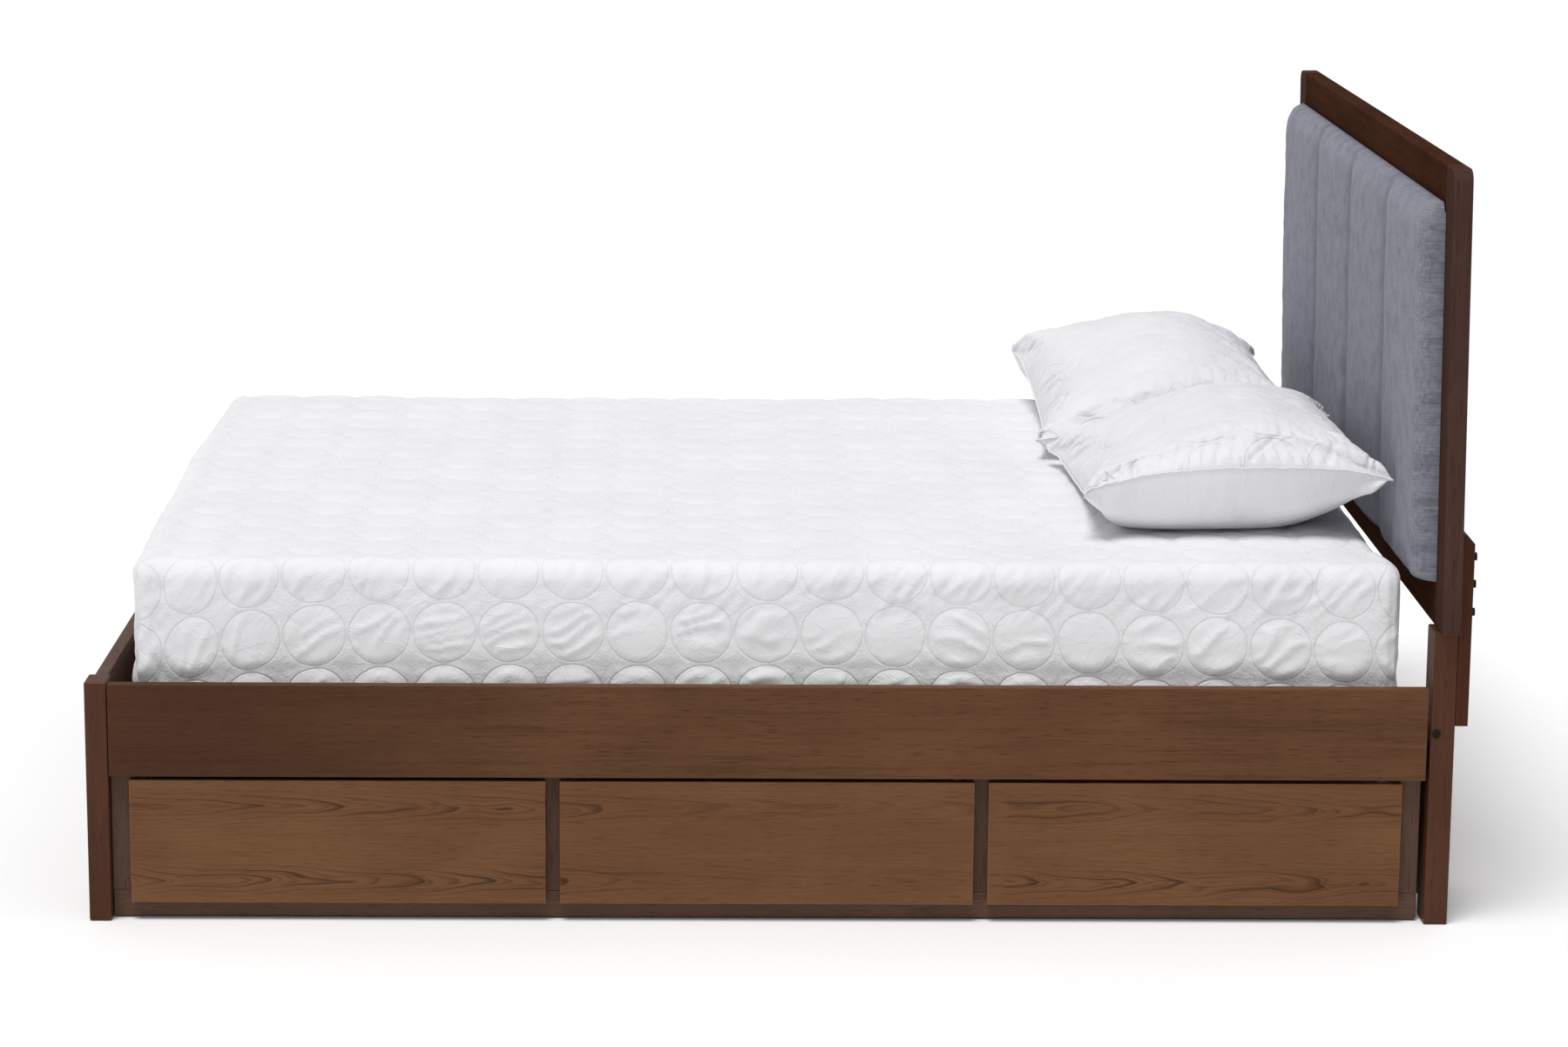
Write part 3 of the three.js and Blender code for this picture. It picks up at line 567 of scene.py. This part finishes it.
def wrapped(lo, hi, z_hem, R, top_cell=0.0066, n_arc=10, n_corner=12, side_cell=0.0066):
    """A sheet over a block: (positions, normals, cloth coordinates, faces, column data). The upper edges and the upright corners are rounded to R."""
    hx, hy = (hi[0] - lo[0]) / 2, (hi[1] - lo[1]) / 2
    cx, cy, zt = (hi[0] + lo[0]) / 2, (hi[1] + lo[1]) / 2, hi[2]
    fx, fy = hx - R, hy - R
    nx, ny = int(round(2 * fx / top_cell)), int(round(2 * fy / top_cell))
    gx, gy = np.linspace(-fx, fx, nx + 1), np.linspace(-fy, fy, ny + 1)
    X, Y = np.meshgrid(gx, gy, indexing="ij")
    pos = [np.stack([X + cx, Y + cy, np.full_like(X, zt)], -1).reshape(-1, 3)]
    nor = [np.tile([0, 0, 1.0], (X.size, 1))]
    cloth = [np.stack([Y + cy, X + cx], -1).reshape(-1, 2)]
    faces = grid_faces(nx + 1, ny + 1)
    # perimeter columns: (inner point, outward direction, cloth a, cloth frame)
    cols = []
    for y in gy:  # +X side, towards +Y
        cols.append((fx, y, 1.0, 0.0, y + cy, cx + fx, 0, 1))
    def corner(px, py, a0):
        for k in range(1, n_corner):
            f = k / n_corner
            a = a0 + f * math.pi / 2
            cols.append((px, py, math.cos(a), math.sin(a), None, None, None, None, f))
    corner(fx, fy, 0.0)
    for x in gx[::-1]:
        cols.append((x, fy, 0.0, 1.0, cy + fy, x + cx, 1, 1))
    corner(-fx, fy, math.pi / 2)
    for y in gy[::-1]:
        cols.append((-fx, y, -1.0, 0.0, y + cy, cx - fx, 0, -1))
    corner(-fx, -fy, math.pi)
    for x in gx:
        cols.append((x, -fy, 0.0, -1.0, cy - fy, x + cx, 1, -1))
    corner(fx, -fy, 1.5 * math.pi)
    drop = (zt - R) - z_hem
    n_down = max(2, int(round(drop / side_cell)))
    arc = [R * math.pi / 2 * k / n_arc for k in range(1, n_arc + 1)]
    down = [R * math.pi / 2 + drop * k / n_down for k in range(1, n_down + 1)]
    rho = np.array(arc + down)
    th = np.minimum(rho / R, math.pi / 2)
    radial = R * np.sin(th)
    z = zt - R + R * np.cos(th) - np.maximum(0, rho - R * math.pi / 2)
    nr, nz = np.sin(th), np.cos(th)
    base = X.size
    m = len(rho)
    side_pos, side_nor, side_cloth = [], [], []
    for c in cols:
        px, py, dx, dy = c[:4]
        side_pos.append(np.stack([cx + px + dx * radial, cy + py + dy * radial, z], -1))
        side_nor.append(np.stack([dx * nr, dy * nr, nz], -1))
        if c[4] is not None:
            a, b, kind, sg = c[4:8]
            if kind == 0:  # X sides: a runs along Y, b grows outward along X
                side_cloth.append(np.stack([np.full(m, a), b + sg * rho], -1))
            else:  # Y ends: a is along Y and grows outward, b is X
                side_cloth.append(np.stack([a + sg * rho, np.full(m, b)], -1))
        else:
            f = c[8]
            arc_len = R * math.pi / 2
            sx = 1 if px > 0 else -1
            sy = 1 if py > 0 else -1
            # which side of the corner: angle measured from the X side
            from_x = f if (sx * sy > 0) else 1 - f
            if from_x < 0.5:
                side_cloth.append(np.stack([np.full(m, cy + py + sy * arc_len * from_x), cx + px + sx * rho], -1))
            else:
                side_cloth.append(np.stack([cy + py + sy * rho, np.full(m, cx + px + sx * arc_len * (1 - from_x))], -1))
    pos.append(np.concatenate(side_pos))
    nor.append(np.concatenate(side_nor))
    cloth.append(np.concatenate(side_cloth))
    # indices of the top-grid vertex at the head of each column
    top_index = lambda ix, iy: ix * (ny + 1) + iy
    heads = []
    heads += [top_index(nx, j) for j in range(ny + 1)]
    heads += [top_index(nx, ny)] * (n_corner - 1)
    heads += [top_index(i, ny) for i in range(nx, -1, -1)]
    heads += [top_index(0, ny)] * (n_corner - 1)
    heads += [top_index(0, j) for j in range(ny, -1, -1)]
    heads += [top_index(0, 0)] * (n_corner - 1)
    heads += [top_index(i, 0) for i in range(nx + 1)]
    heads += [top_index(nx, 0)] * (n_corner - 1)
    nc = len(cols)
    for k in range(nc):
        k2 = (k + 1) % nc
        a, b = base + k * m, base + k2 * m
        if heads[k] == heads[k2]:
            faces.append((heads[k], a, b))
        else:
            faces.append((heads[k], a, b, heads[k2]))
        for j in range(m - 1):
            faces.append((a + j, a + j + 1, b + j + 1, b + j))
    return (
        np.concatenate(pos),
        np.concatenate(nor),
        np.concatenate(cloth),
        faces,
        {"base": base, "columns": nc, "rows": m, "rho": rho},
    )


def build_coverlet():
    lo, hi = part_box("coverlet")
    lo, hi = np.array(lo), np.array(hi)
    body_lo = np.array([lo[0] + 0.005, lo[1] + 0.006, lo[2]])
    body_hi = np.array([hi[0] - 0.005, hi[1] - 0.004, hi[2] - 0.005])
    cell = 0.0046
    pos, nor, cloth, faces, info = wrapped(body_lo, body_hi, lo[2] + 0.002, 0.030, cell, 10, 12, cell)
    a, b = cloth[:, 0].copy(), cloth[:, 1].copy()
    x, y, z = pos[:, 0].copy(), pos[:, 1].copy(), pos[:, 2].copy()
    u = y + 1.0665
    side = 1 - np.clip(nor[:, 2], 0, 1)
    flat = np.clip(nor[:, 2], 0, 1)
    # the quilt lies a little askew: shifted towards the foot on the far side, and its rows droop towards both ends of the near side
    shift_a = 0.0199 + 0.0085 * (0.76 - x)
    pull = (0.040 * np.exp(-np.maximum(0, u - 0.08) / 0.17) + 0.029 * np.clip((u - 1.1) / 0.9, 0, 1)) * smooth(0.35, 0.76, x)
    qa = a + shift_a + PITCH / 2
    qb = (b - 0.005) * (PITCH / 0.1) - pull
    # sewn by hand-guided machine: the circles wander by a few millimetres
    qa, qb = qa + 0.0034 * fbm(a * 13, b * 13, 61, 2), qb + 0.0034 * fbm(a * 13 + 9, b * 13 + 4, 62, 2)
    uv = np.stack([qa, qb], -1)
    # folds: steep ones in the row that turns over the edge, slanting ones in the row below
    row = np.floor(qb / PITCH)
    th = np.where(row >= 8, np.where(u < 0.33, 1.2, np.where(u < 1.35, 0.50, 0.25)), 1.15)
    th = np.where(row < 7, 1.3, th)
    power = np.where(row == 7, 1.5, np.where(row >= 8, 1.45, 0.35))
    puff = quilt_puff(qa, qb, 0.0030, 3, (th, power * (0.55 + 0.45 * side)))
    wave = 0.0032 * fbm(np.where(np.abs(nor[:, 0]) > np.abs(nor[:, 1]), y, x) * 7.0, z * 4.0, 21) * side
    # below the middle of the side the cloth billows out towards the rail and is drawn in between the circles
    low = smooth(0.425, 0.385, z) * side
    ca, cb = qa / PITCH, qb / PITCH
    r = np.hypot(ca - np.floor(ca) - 0.5, cb - np.floor(cb) - 0.5)
    billow = (0.0048 * smooth(0.50, 0.30, r) - 0.0030 * smooth(0.49, 0.66, r)) * low * smooth(0.33, 0.35, z)
    top = 0.0028 * fbm(x * 2.3, y * 2.3, 5) * flat
    crown = 0.003 * np.cos(np.clip(x / 0.76, -1, 1) * math.pi / 2) * flat
    # ripples between the columns of circles, where the cloth is slack on top
    rip = np.abs(ca - np.round(ca))
    ripple = 0.0007 * np.sin(b * 2 * math.pi / 0.016 + 3 * noise2(a * 8, b * 8, 33)) * np.exp(-((rip / 0.16) ** 2)) * flat * smooth(-0.55, 0.0, y)
    # crumples beside the near foot corner
    across = np.maximum(u - 0.092, -0.012)
    corner = np.exp(-((across / 0.012) ** 2)) * side * smooth(0.70, 0.745, x)
    crumple = -0.0045 * corner * (0.55 + 0.45 * noise2(y * 40, z * 26, 51)) + 0.0016 * np.exp(-((across / 0.022) ** 2)) * side * smooth(0.70, 0.745, x) * noise2(y * 190, z * 62, 52)
    band = smooth(0.462, 0.490, z) * smooth(0.10, 0.55, side) * smooth(0.70, 0.75, x) * smooth(0.06, 0.14, 2.04 - u)
    rv = noise2(y * 44 - z * 44, z * 9 + y * 5, 71) + 0.35 * noise2(y * 90 - z * 80, z * 15, 72)
    crumple = crumple + 0.0048 * (np.exp(-((rv / 0.24) ** 2)) - 0.35) * band * (0.30 + 0.70 * smooth(0.75, 1.05, u)) * (0.6 + 0.4 * noise2(y * 6, z * 3, 73))
    # bound edge at the head end of the near side
    hem = -0.0016 * np.exp(-(((2.018 - u) / 0.0035) ** 2)) * side * smooth(0.70, 0.745, x)
    crumple = crumple + hem
    puff = puff * (1 - 0.62 * np.exp(-((across / 0.045) ** 2)) * side * smooth(0.62, 0.70, x))
    d = puff + wave + billow + top + crown + ripple + crumple - 0.0015
    pos = pos + nor * d[:, None]
    # the foot end is drawn in at the near corner
    foot = np.interp(x, [-0.80, -0.15, 0.0, 0.17, 0.32, 0.46, 0.60, 0.76], [0.0, 0.0, 0.005, 0.009, 0.012, 0.015, 0.018, 0.019])
    pos[:, 1] += foot * smooth(-0.80, -1.015, y)
    # and the head end a little further in than the near corner
    pos[:, 1] -= (0.005 + 0.019 * smooth(0.75, 0.58, x)) * smooth(0.80, 0.965, y)
    pos[:, 2] = np.maximum(pos[:, 2], lo[2])
    o = make("quilted_coverlet", pos, faces, quilt, uv=uv)
    solid = o.modifiers.new("thickness", "SOLIDIFY")
    solid.thickness, solid.offset = 0.004, -1.0
    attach(o, "mattress")
    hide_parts("coverlet")
    return o


def build_mattress():
    lo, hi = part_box("mattress")
    lo, hi = np.array(lo), np.array(hi)
    pos, nor, cloth, faces, info = wrapped(lo + [0.008, 0.030, 0], hi - [0.008, 0.028, 0.009], lo[2] + 0.012, 0.034, 0.03, 6, 8, 0.03)
    base, nc, m = info["base"], info["columns"], info["rows"]
    # border panel quilting: soft bulge between tape edges
    z = pos[:, 2]
    t = np.clip((z - lo[2]) / (hi[2] - lo[2]), 0, 1)
    side = np.hypot(nor[:, 0], nor[:, 1])
    pos[:, :3] += nor * (0.002 * np.sin(t * math.pi) * side)[:, None]
    ring = [base + k * m + m - 1 for k in range(nc)]
    # rounded lower edge and flat underside
    centre = (lo + hi) / 2
    verts = [pos]
    uv = [cloth]
    n0 = len(pos)
    prev = ring
    low_ring = pos[ring]
    steps = [(0.003, 0.003), (0.008, 0.007), (0.016, 0.010), (0.030, 0.0115), (0.12, 0.0118), (0.35, 0.0118), (0.70, 0.0118)]
    nrm = nor[ring].copy()
    nrm[:, 2] = 0
    nrm /= np.linalg.norm(nrm, axis=1)[:, None]
    for inn, dn in steps:
        p = low_ring - nrm * inn
        p[:, 0] = np.where(np.abs(low_ring[:, 0] - centre[0]) < inn, centre[0], p[:, 0])
        p[:, 2] = low_ring[:, 2] - dn
        verts.append(p)
        uv.append(p[:, [1, 0]])
        cur = [n0 + k for k in range(nc)]
        n0 += nc
        for k in range(nc):
            faces.append((prev[k], cur[k], cur[(k + 1) % nc], prev[(k + 1) % nc]))
        prev = cur
    p = np.array([[centre[0], centre[1], low_ring[0, 2] - 0.0118]])
    verts.append(p)
    uv.append(p[:, [1, 0]])
    for k in range(nc):
        faces.append((prev[k], n0, prev[(k + 1) % nc]))
    o = make("mattress_block", np.concatenate(verts), faces, ticking, uv=np.concatenate(uv))
    recalc(o)
    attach(o, "mattress")
    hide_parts("mattress")
    tape = tube("mattress_tape_edge", low_ring + nrm * 0.0005, 0.0045, binding, 8)
    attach(tape, "mattress")
    return o


def inflate(verts, faces, frames=20, pressure=4.0, cap=0.014):
    """Swell a closed cloth shape from inside and return its points, none moved by more than cap. The seam and panels wrinkle as they fill."""
    me = bpy.data.meshes.new("filling")
    me.from_pydata([tuple(map(float, v)) for v in verts], [], [tuple(int(i) for i in f) for f in faces])
    o = bpy.data.objects.new("filling", me)
    SCENE.collection.objects.link(o)
    mod = o.modifiers.new("fill", "CLOTH")
    st = mod.settings
    st.quality = 6
    st.mass = 0.12
    st.tension_stiffness = st.compression_stiffness = 20
    st.shear_stiffness = 6
    st.bending_stiffness = 0.15
    st.shrink_min = -0.05
    st.use_pressure = True
    st.uniform_pressure_force = pressure
    st.effector_weights.gravity = 0.0
    mod.collision_settings.use_collision = False
    mod.point_cache.frame_start, mod.point_cache.frame_end = 1, frames
    for k in range(1, frames + 1):
        SCENE.frame_set(k)
    ev = o.evaluated_get(bpy.context.evaluated_depsgraph_get())
    done = ev.to_mesh()
    co = np.zeros(len(done.vertices) * 3, np.float32)
    done.vertices.foreach_get("co", co)
    ev.to_mesh_clear()
    bpy.data.objects.remove(o)
    bpy.data.meshes.remove(me)
    SCENE.frame_set(1)
    d = co.reshape(-1, 3) - verts
    length = np.linalg.norm(d, axis=1)[:, None]
    return verts + d * np.minimum(1, cap / np.maximum(length, 1e-9))


def closed_grid(nx, ny):
    """Two panels on the same grid, sewn together round the border: faces of the upper and the lower panel."""
    idx = np.arange((nx + 1) * (ny + 1)).reshape(nx + 1, ny + 1)
    low = idx + idx.size
    low[0, :], low[-1, :], low[:, 0], low[:, -1] = idx[0, :], idx[-1, :], idx[:, 0], idx[:, -1]
    lower = [(low[i, j], low[i, j + 1], low[i + 1, j + 1], low[i + 1, j]) for i in range(nx) for j in range(ny)]
    return idx, low, grid_faces(nx + 1, ny + 1), lower


def resample(grid, s0, t0, s1, t1):
    """Carry values on the grid (s0, t0) over to the grid (s1, t1)."""
    i = np.clip(np.searchsorted(s0, s1) - 1, 0, len(s0) - 2)
    j = np.clip(np.searchsorted(t0, t1) - 1, 0, len(t0) - 2)
    u = ((s1 - s0[i]) / (s0[i + 1] - s0[i])).clip(0, 1)[:, None, None]
    v = ((t1 - t0[j]) / (t0[j + 1] - t0[j])).clip(0, 1)[None, :, None]
    u, v = u * u * (3 - 2 * u) * 0.5 + u * 0.5, v * v * (3 - 2 * v) * 0.5 + v * 0.5
    g = lambda a, b: grid[np.ix_(a, b)]
    return (g(i, j) * (1 - u) + g(i + 1, j) * u) * (1 - v) + (g(i, j + 1) * (1 - u) + g(i + 1, j + 1) * u) * v


def grid_normals(p):
    n = np.cross(np.gradient(p, axis=0), np.gradient(p, axis=1))
    return n / np.maximum(np.linalg.norm(n, axis=2)[..., None], 1e-12)


def build_pillow(name, node, seam, crown, tips, seed, short=0.0, hang=0.082):
    """A filled sham: quilted top, plain underside, knife edge with a stitched seam and pulled-out corners."""
    lo, hi = [list(v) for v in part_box(node)]
    hi[1] -= short
    cx, cy = (lo[0] + hi[0]) / 2, (lo[1] + hi[1]) / 2
    hx, hy = (hi[0] - lo[0]) / 2, (hi[1] - lo[1]) / 2
    floor = lo[2] + 0.0008
    inner = -1 if "near" in node else 1
    span = lambda n: np.sin(np.linspace(-1, 1, n + 1) * math.pi / 2 * 0.80) / math.sin(math.pi / 2 * 0.80)
    pb_foot, pb_head = 1.9, 6.0

    def panels(s, t, plump=1.0):
        A, B = np.meshgrid(s, t, indexing="ij")
        # outline: sides pull in between the corners
        # the sides where the two pillows meet press against each other
        X = A * hx * (1 + np.where(A * inner > 0, 0.026, -0.045) * (1 - B**2) * np.abs(A) ** 3)
        Y = B * hy * (1 - 0.090 * (1 - A**2) * np.abs(B) ** 3)
        f = ((1 - np.abs(A) ** 2.7) * (1 - np.abs(B) ** 2.7)).clip(0, 1) ** 0.52
        # the end by the headboard and the far side taper more gently
        f = f * (1 - 0.36 * smooth(0.15, 1.0, B)) * (1 - 0.12 * smooth(0.3, 1.0, np.abs(A)))
        under = ((1 - np.abs(A) ** 2.3) * (1 - np.abs(B) ** np.where(B > 0, 2.0, 3.4))).clip(0, 1) ** 0.62
        q = tips
        zc = ((1 - A) * (1 - B) * q[0] + (1 + A) * (1 - B) * q[1] + (1 + A) * (1 + B) * q[2] + (1 - A) * (1 + B) * q[3]) / 4
        arch = seam * (1 - np.abs(A) ** 2.2 * np.abs(B) ** np.where(B > 0, pb_head, pb_foot))
        # the edge nearest the foot of the bed hangs down between its corners
        Z0 = zc + arch - hang * (1 - A**2).clip(0, 1) ** 0.7 * smooth(0.25, -1.0, B)
        rise = crown - (seam + np.mean(q))
        Zt = Z0 + plump * rise * f * (1 + 0.07 * fbm(A * 1.6 + seed, B * 1.6, seed + 5)) + 0.004 * fbm(A * 3.1, B * 3.1 + seed, seed + 9) * f
        Zb = Z0 - (Z0 - floor) * np.clip(under * 1.25, 0, 1.0)
        return A, B, np.stack([X + cx, Y + cy, Zt], -1), np.stack([X + cx, Y + cy, Zb], -1)

    nx, ny = ((216, 164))
    s1, t1 = span(nx), span(ny)
    # sewn slightly flat, then filled: the cloth is blown up from inside and let wrinkle
    mx, my = 96, 74
    s0, t0 = span(mx), span(my)
    _, _, ctop, cbot = panels(s0, t0, 0.86)
    idx, low, f_up, f_low = closed_grid(mx, my)
    flat = np.concatenate([ctop.reshape(-1, 3), cbot.reshape(-1, 3)])
    used = np.unique(np.concatenate([idx.ravel(), low.ravel()]))
    back = np.full(len(flat), -1)
    back[used] = np.arange(len(used))
    sim = inflate(flat[used], [tuple(back[list(f)]) for f in f_up + f_low])
    stop, sbot = sim[back[idx]], sim[back[low]]
    A, B, top, bot = panels(s1, t1, 0.86)
    top = top + resample(stop - ctop, s0, t0, s1, t1)
    bot = bot + resample(sbot - cbot, s0, t0, s1, t1)
    edge_d = np.minimum((1 - np.abs(A)) * hx, (1 - np.abs(B)) * hy)
    X, Y = A * hx, B * hy
    # where along the edge, for gathers
    along = np.where((1 - np.abs(A)) * hx < (1 - np.abs(B)) * hy, Y + 3.1 * np.sign(A), X + 7.7 * np.sign(B))
    v1 = np.sin(along * 2 * math.pi / 0.046 + 2.4 * noise2(along * 11, edge_d * 13, seed + 2) + 1.2 * noise2(along * 31, edge_d * 9, seed))
    v2 = noise2(along * 19 + 1.2 * noise2(along * 7, edge_d * 15, seed + 12), edge_d * 5, seed + 1)
    reach = 0.046 + 0.024 * noise2(along * 12, 0 * along, seed + 3)
    crease = -np.exp(-((v1 / 0.36) ** 2)) * np.exp(-edge_d / reach) * (0.62 + 0.5 * noise2(along * 17, 0 * along, seed + 8)) - 0.9 * np.exp(-((v2 / 0.15) ** 2)) * np.exp(-edge_d / 0.080) + 0.4
    gather = crease * smooth(0.0, 0.014, edge_d) * np.exp(-edge_d / 0.12)
    qa, qb = Y + cy + 0.031 * seed, X + cx + 0.017 * seed
    wob = 0.0030 * fbm(qa * 13, qb * 13, seed + 40, 2)
    puff = quilt_puff(qa + wob, qb - wob, 0.0026, seed) * smooth(0.012, 0.095, edge_d)
    slack = 0.0022 * fbm(qa * 9, qb * 9, seed + 50) * smooth(0.0, 0.05, edge_d)
    top = top + grid_normals(top) * (puff + slack + 0.0105 * gather)[..., None]
    low_wr = 0.0040 * noise2(along * 15, edge_d * 5, seed + 20) * np.exp(-edge_d / 0.07) * smooth(0.0, 0.02, edge_d) + 0.0016 * fbm(qa * 14, qb * 9, seed + 21) * smooth(0.0, 0.05, edge_d)
    bot = bot - grid_normals(bot) * low_wr[..., None]
    bot[..., 2] = np.maximum(bot[..., 2], floor)
    top[..., 2] = np.maximum(top[..., 2], floor + 0.0004)
    top, bot = top.reshape(-1, 3), bot.reshape(-1, 3)
    idx, low, f_up, f_low = closed_grid(nx, ny)
    uv = np.concatenate([np.stack([qa, qb], -1).reshape(-1, 2)] * 2)
    o = make(name, np.concatenate([top, bot]), f_up + f_low, sham, uv=uv)
    o.data.materials.append(underside_white_painted_bounce)
    mi = np.zeros(len(o.data.polygons), np.int32)
    mi[len(f_up):] = 1
    o.data.polygons.foreach_set("material_index", mi)
    bm = bmesh.new()
    bm.from_mesh(o.data)
    bmesh.ops.delete(bm, geom=[v for v in bm.verts if not v.link_faces], context="VERTS")
    bm.to_mesh(o.data)
    bm.free()
    # seam welt round the knife edge
    loop = [idx[i, 0] for i in range(nx)] + [idx[nx, j] for j in range(ny)] + [idx[i, ny] for i in range(nx, 0, -1)] + [idx[0, j] for j in range(ny, 0, -1)]
    line = top[loop]
    out = line - np.array([cx, cy, 0])
    out[:, 2] = 0
    out /= np.linalg.norm(out, axis=1)[:, None]
    ruffle = 0.0012 * noise2(np.arange(len(loop)) * 0.9, np.zeros(len(loop)), seed + 30)
    line = line + out * 0.0006 + np.array([0, 0, 1.0]) * ruffle[:, None]
    welt = tube(name + "_seam", line, 0.0017, sham, 8)
    body = "pillow_near" if "near" in node else "pillow_far"
    for x in (o, welt):
        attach(x, body)
    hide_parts(node)
    return o


LEAN = math.radians(0.8)
PIVOT = (2.0800 - 1.0665, 0.4673)  # lower front edge of the headboard: the whole headboard is turned about it


def leaned(v):
    """Turn points about the headboard's lower front edge, as the headboard is."""
    v = np.array(v, float)
    dy, dz = v[:, 1] - PIVOT[0], v[:, 2] - PIVOT[1]
    v[:, 1] = PIVOT[0] + dy * math.cos(LEAN) - dz * math.sin(LEAN)
    v[:, 2] = PIVOT[1] + dy * math.sin(LEAN) + dz * math.cos(LEAN)
    return v


def build_pad():
    """The upholstered panel: four upright channels with sewn seams between, domed to its edges. Built upright, then leaned."""
    front, back, wood_face = 2.0380 - 1.0665, 2.0917 - 1.0665, 2.080 - 1.0665
    hx, z0, z1 = 0.7567 - 0.0005, 0.5356 + 0.0005, 1.1097 - 0.0005
    nx, nz = ((420, 180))

    def spread(n):
        t = np.linspace(-1, 1, n + 1)
        return np.sin(t * math.pi / 2 * 0.80) / math.sin(math.pi / 2 * 0.80)

    gx, gz = spread(nx) * hx, (z0 + z1) / 2 + spread(nz) * (z1 - z0) / 2
    X, Z = np.meshgrid(gx, gz, indexing="ij")
    dx, dz = hx - np.abs(X), np.minimum(Z - z0, z1 - Z)
    prof = lambda d, e: (1 - (1 - np.clip(d / e, 0, 1)) ** 2.4) ** 0.5
    dome = prof(dx, 0.018) * prof(dz, np.where(Z > (z0 + z1) / 2, 0.055, 0.016))
    seams = (-hx / 2, 0.0, hx / 2)
    ds = np.min([np.abs(X - sx) for sx in seams], 0)
    width = hx / 2
    # each channel is softly crowned, with a shallow sewn valley between
    valley = 0.17 * np.exp(-((ds / 0.060) ** 1.5)) + 0.10 * np.exp(-((ds / 0.030) ** 1.5))
    depth = (wood_face - front) - 0.0008
    puck = np.abs(noise2(X * 52, Z * 7, 4)) * np.exp(-dz / 0.030) * 0.0034 + noise2(X * 8, Z * 60, 7) * np.exp(-dx / 0.03) * 0.0010
    ruck = noise2(X * 10, Z * 34, 9) * np.exp(-ds / 0.035) * 0.0011
    soft = 0.0018 * fbm(X * 7, Z * 6, 31)
    bead = 0.0032 * np.exp(-(((dz - 0.0075) / 0.0045) ** 2)) * (Z > (z0 + z1) / 2)
    Y = wood_face - 0.003 - (depth - 0.006) * dome * (1 - valley) - (ruck + soft) * smooth(0, 0.02, np.minimum(dx, dz)) + puck * smooth(0, 0.012, dz) - bead * smooth(0, 0.03, dx)
    Y = np.maximum(Y, front)
    roll = 0.0160 * smooth(z0 + 0.30, z1, Z)
    face = np.stack([X, Y, Z + roll], -1).reshape(-1, 3)
    idx = np.arange(len(face)).reshape(X.shape)
    loop = [idx[i, 0] for i in range(nx)] + [idx[nx, j] for j in range(nz)] + [idx[i, nz] for i in range(nx, 0, -1)] + [idx[0, j] for j in range(nz, 0, -1)]
    # under the roll the cloth turns back to the opening, then runs to the board behind
    lip = face[loop].copy()
    lip[:, 1], lip[:, 2] = wood_face - 0.0012, np.minimum(lip[:, 2], z1)
    rim = lip.copy()
    rim[:, 1] = back - 0.0006
    n0 = len(face)
    faces = [f[::-1] for f in grid_faces(nx + 1, nz + 1)]
    k = len(loop)
    for i in range(k):
        j = (i + 1) % k
        faces.append((loop[i], n0 + i, n0 + j, loop[j]))
        faces.append((n0 + i, n0 + k + i, n0 + k + j, n0 + j))
    c = np.array([[0, back - 0.0006, (z0 + z1) / 2]])
    for i in range(k):
        faces.append((n0 + k + (i + 1) % k, n0 + k + i, n0 + 2 * k))
    verts = np.concatenate([face, lip, rim, c])
    uv = verts[:, [0, 2]].copy()
    o = make("headboard_upholstery", leaned(verts), faces, pad_cloth, uv=uv)
    recalc(o)
    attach(o, "frame")
    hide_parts("headboard_pad")
    return o


near = build_pillow("pillow_near_sham", "pillow_near", 0.028, 0.744, (0.604, 0.656, 0.657, 0.646), 2, short=0.004)
far = build_pillow("pillow_far_sham", "pillow_far", 0.012, 0.752, (0.674, 0.598, 0.644, 0.640), 6, short=0.028, hang=0.060)
coverlet = build_coverlet()
mattress = build_mattress()
pad = build_pad()

# --------------------------------------------------------------------------------------------
# Floor and light
# --------------------------------------------------------------------------------------------


def stage():
    s = Shader("floor_pale")
    n = s.noise(s.obj, 1.5, 2.0)
    col = s.mix(n, (0.93, 0.93, 0.93), (0.95, 0.95, 0.95))
    s.set(Base_Color=col, Roughness=0.8, Specular_IOR_Level=0.1)
    me = bpy.data.meshes.new("floor")
    me.from_pydata([(-90, -90, 0), (90, -90, 0), (90, 90, 0), (-90, 90, 0)], [], [(0, 1, 2, 3)])
    me.materials.append(s.m)
    floor = bpy.data.objects.new("floor", me)
    SCENE.collection.objects.link(floor)
    world = bpy.data.worlds.new("studio")
    SCENE.world = world
    world.use_nodes = True
    t = world.node_tree
    t.nodes.clear()
    out = t.nodes.new("ShaderNodeOutputWorld")
    bg = t.nodes.new("ShaderNodeBackground")
    bg.inputs[0].default_value = (1.0, 1.0, 1.0, 1.0)
    bg.inputs[1].default_value = 0.50
    t.links.new(bg.outputs[0], out.inputs[0])

    def sun(name, direction, strength, angle, color=(1, 1, 1)):
        d = bpy.data.lights.new(name, "SUN")
        d.energy, d.angle, d.color = strength, math.radians(angle), color
        o = bpy.data.objects.new(name, d)
        SCENE.collection.objects.link(o)
        o.rotation_mode = "QUATERNION"
        o.rotation_quaternion = Vector(direction).to_track_quat("-Z", "Y")

    sun("key", (-0.26, 0.16, -1.0), 2.15, 26)


stage()
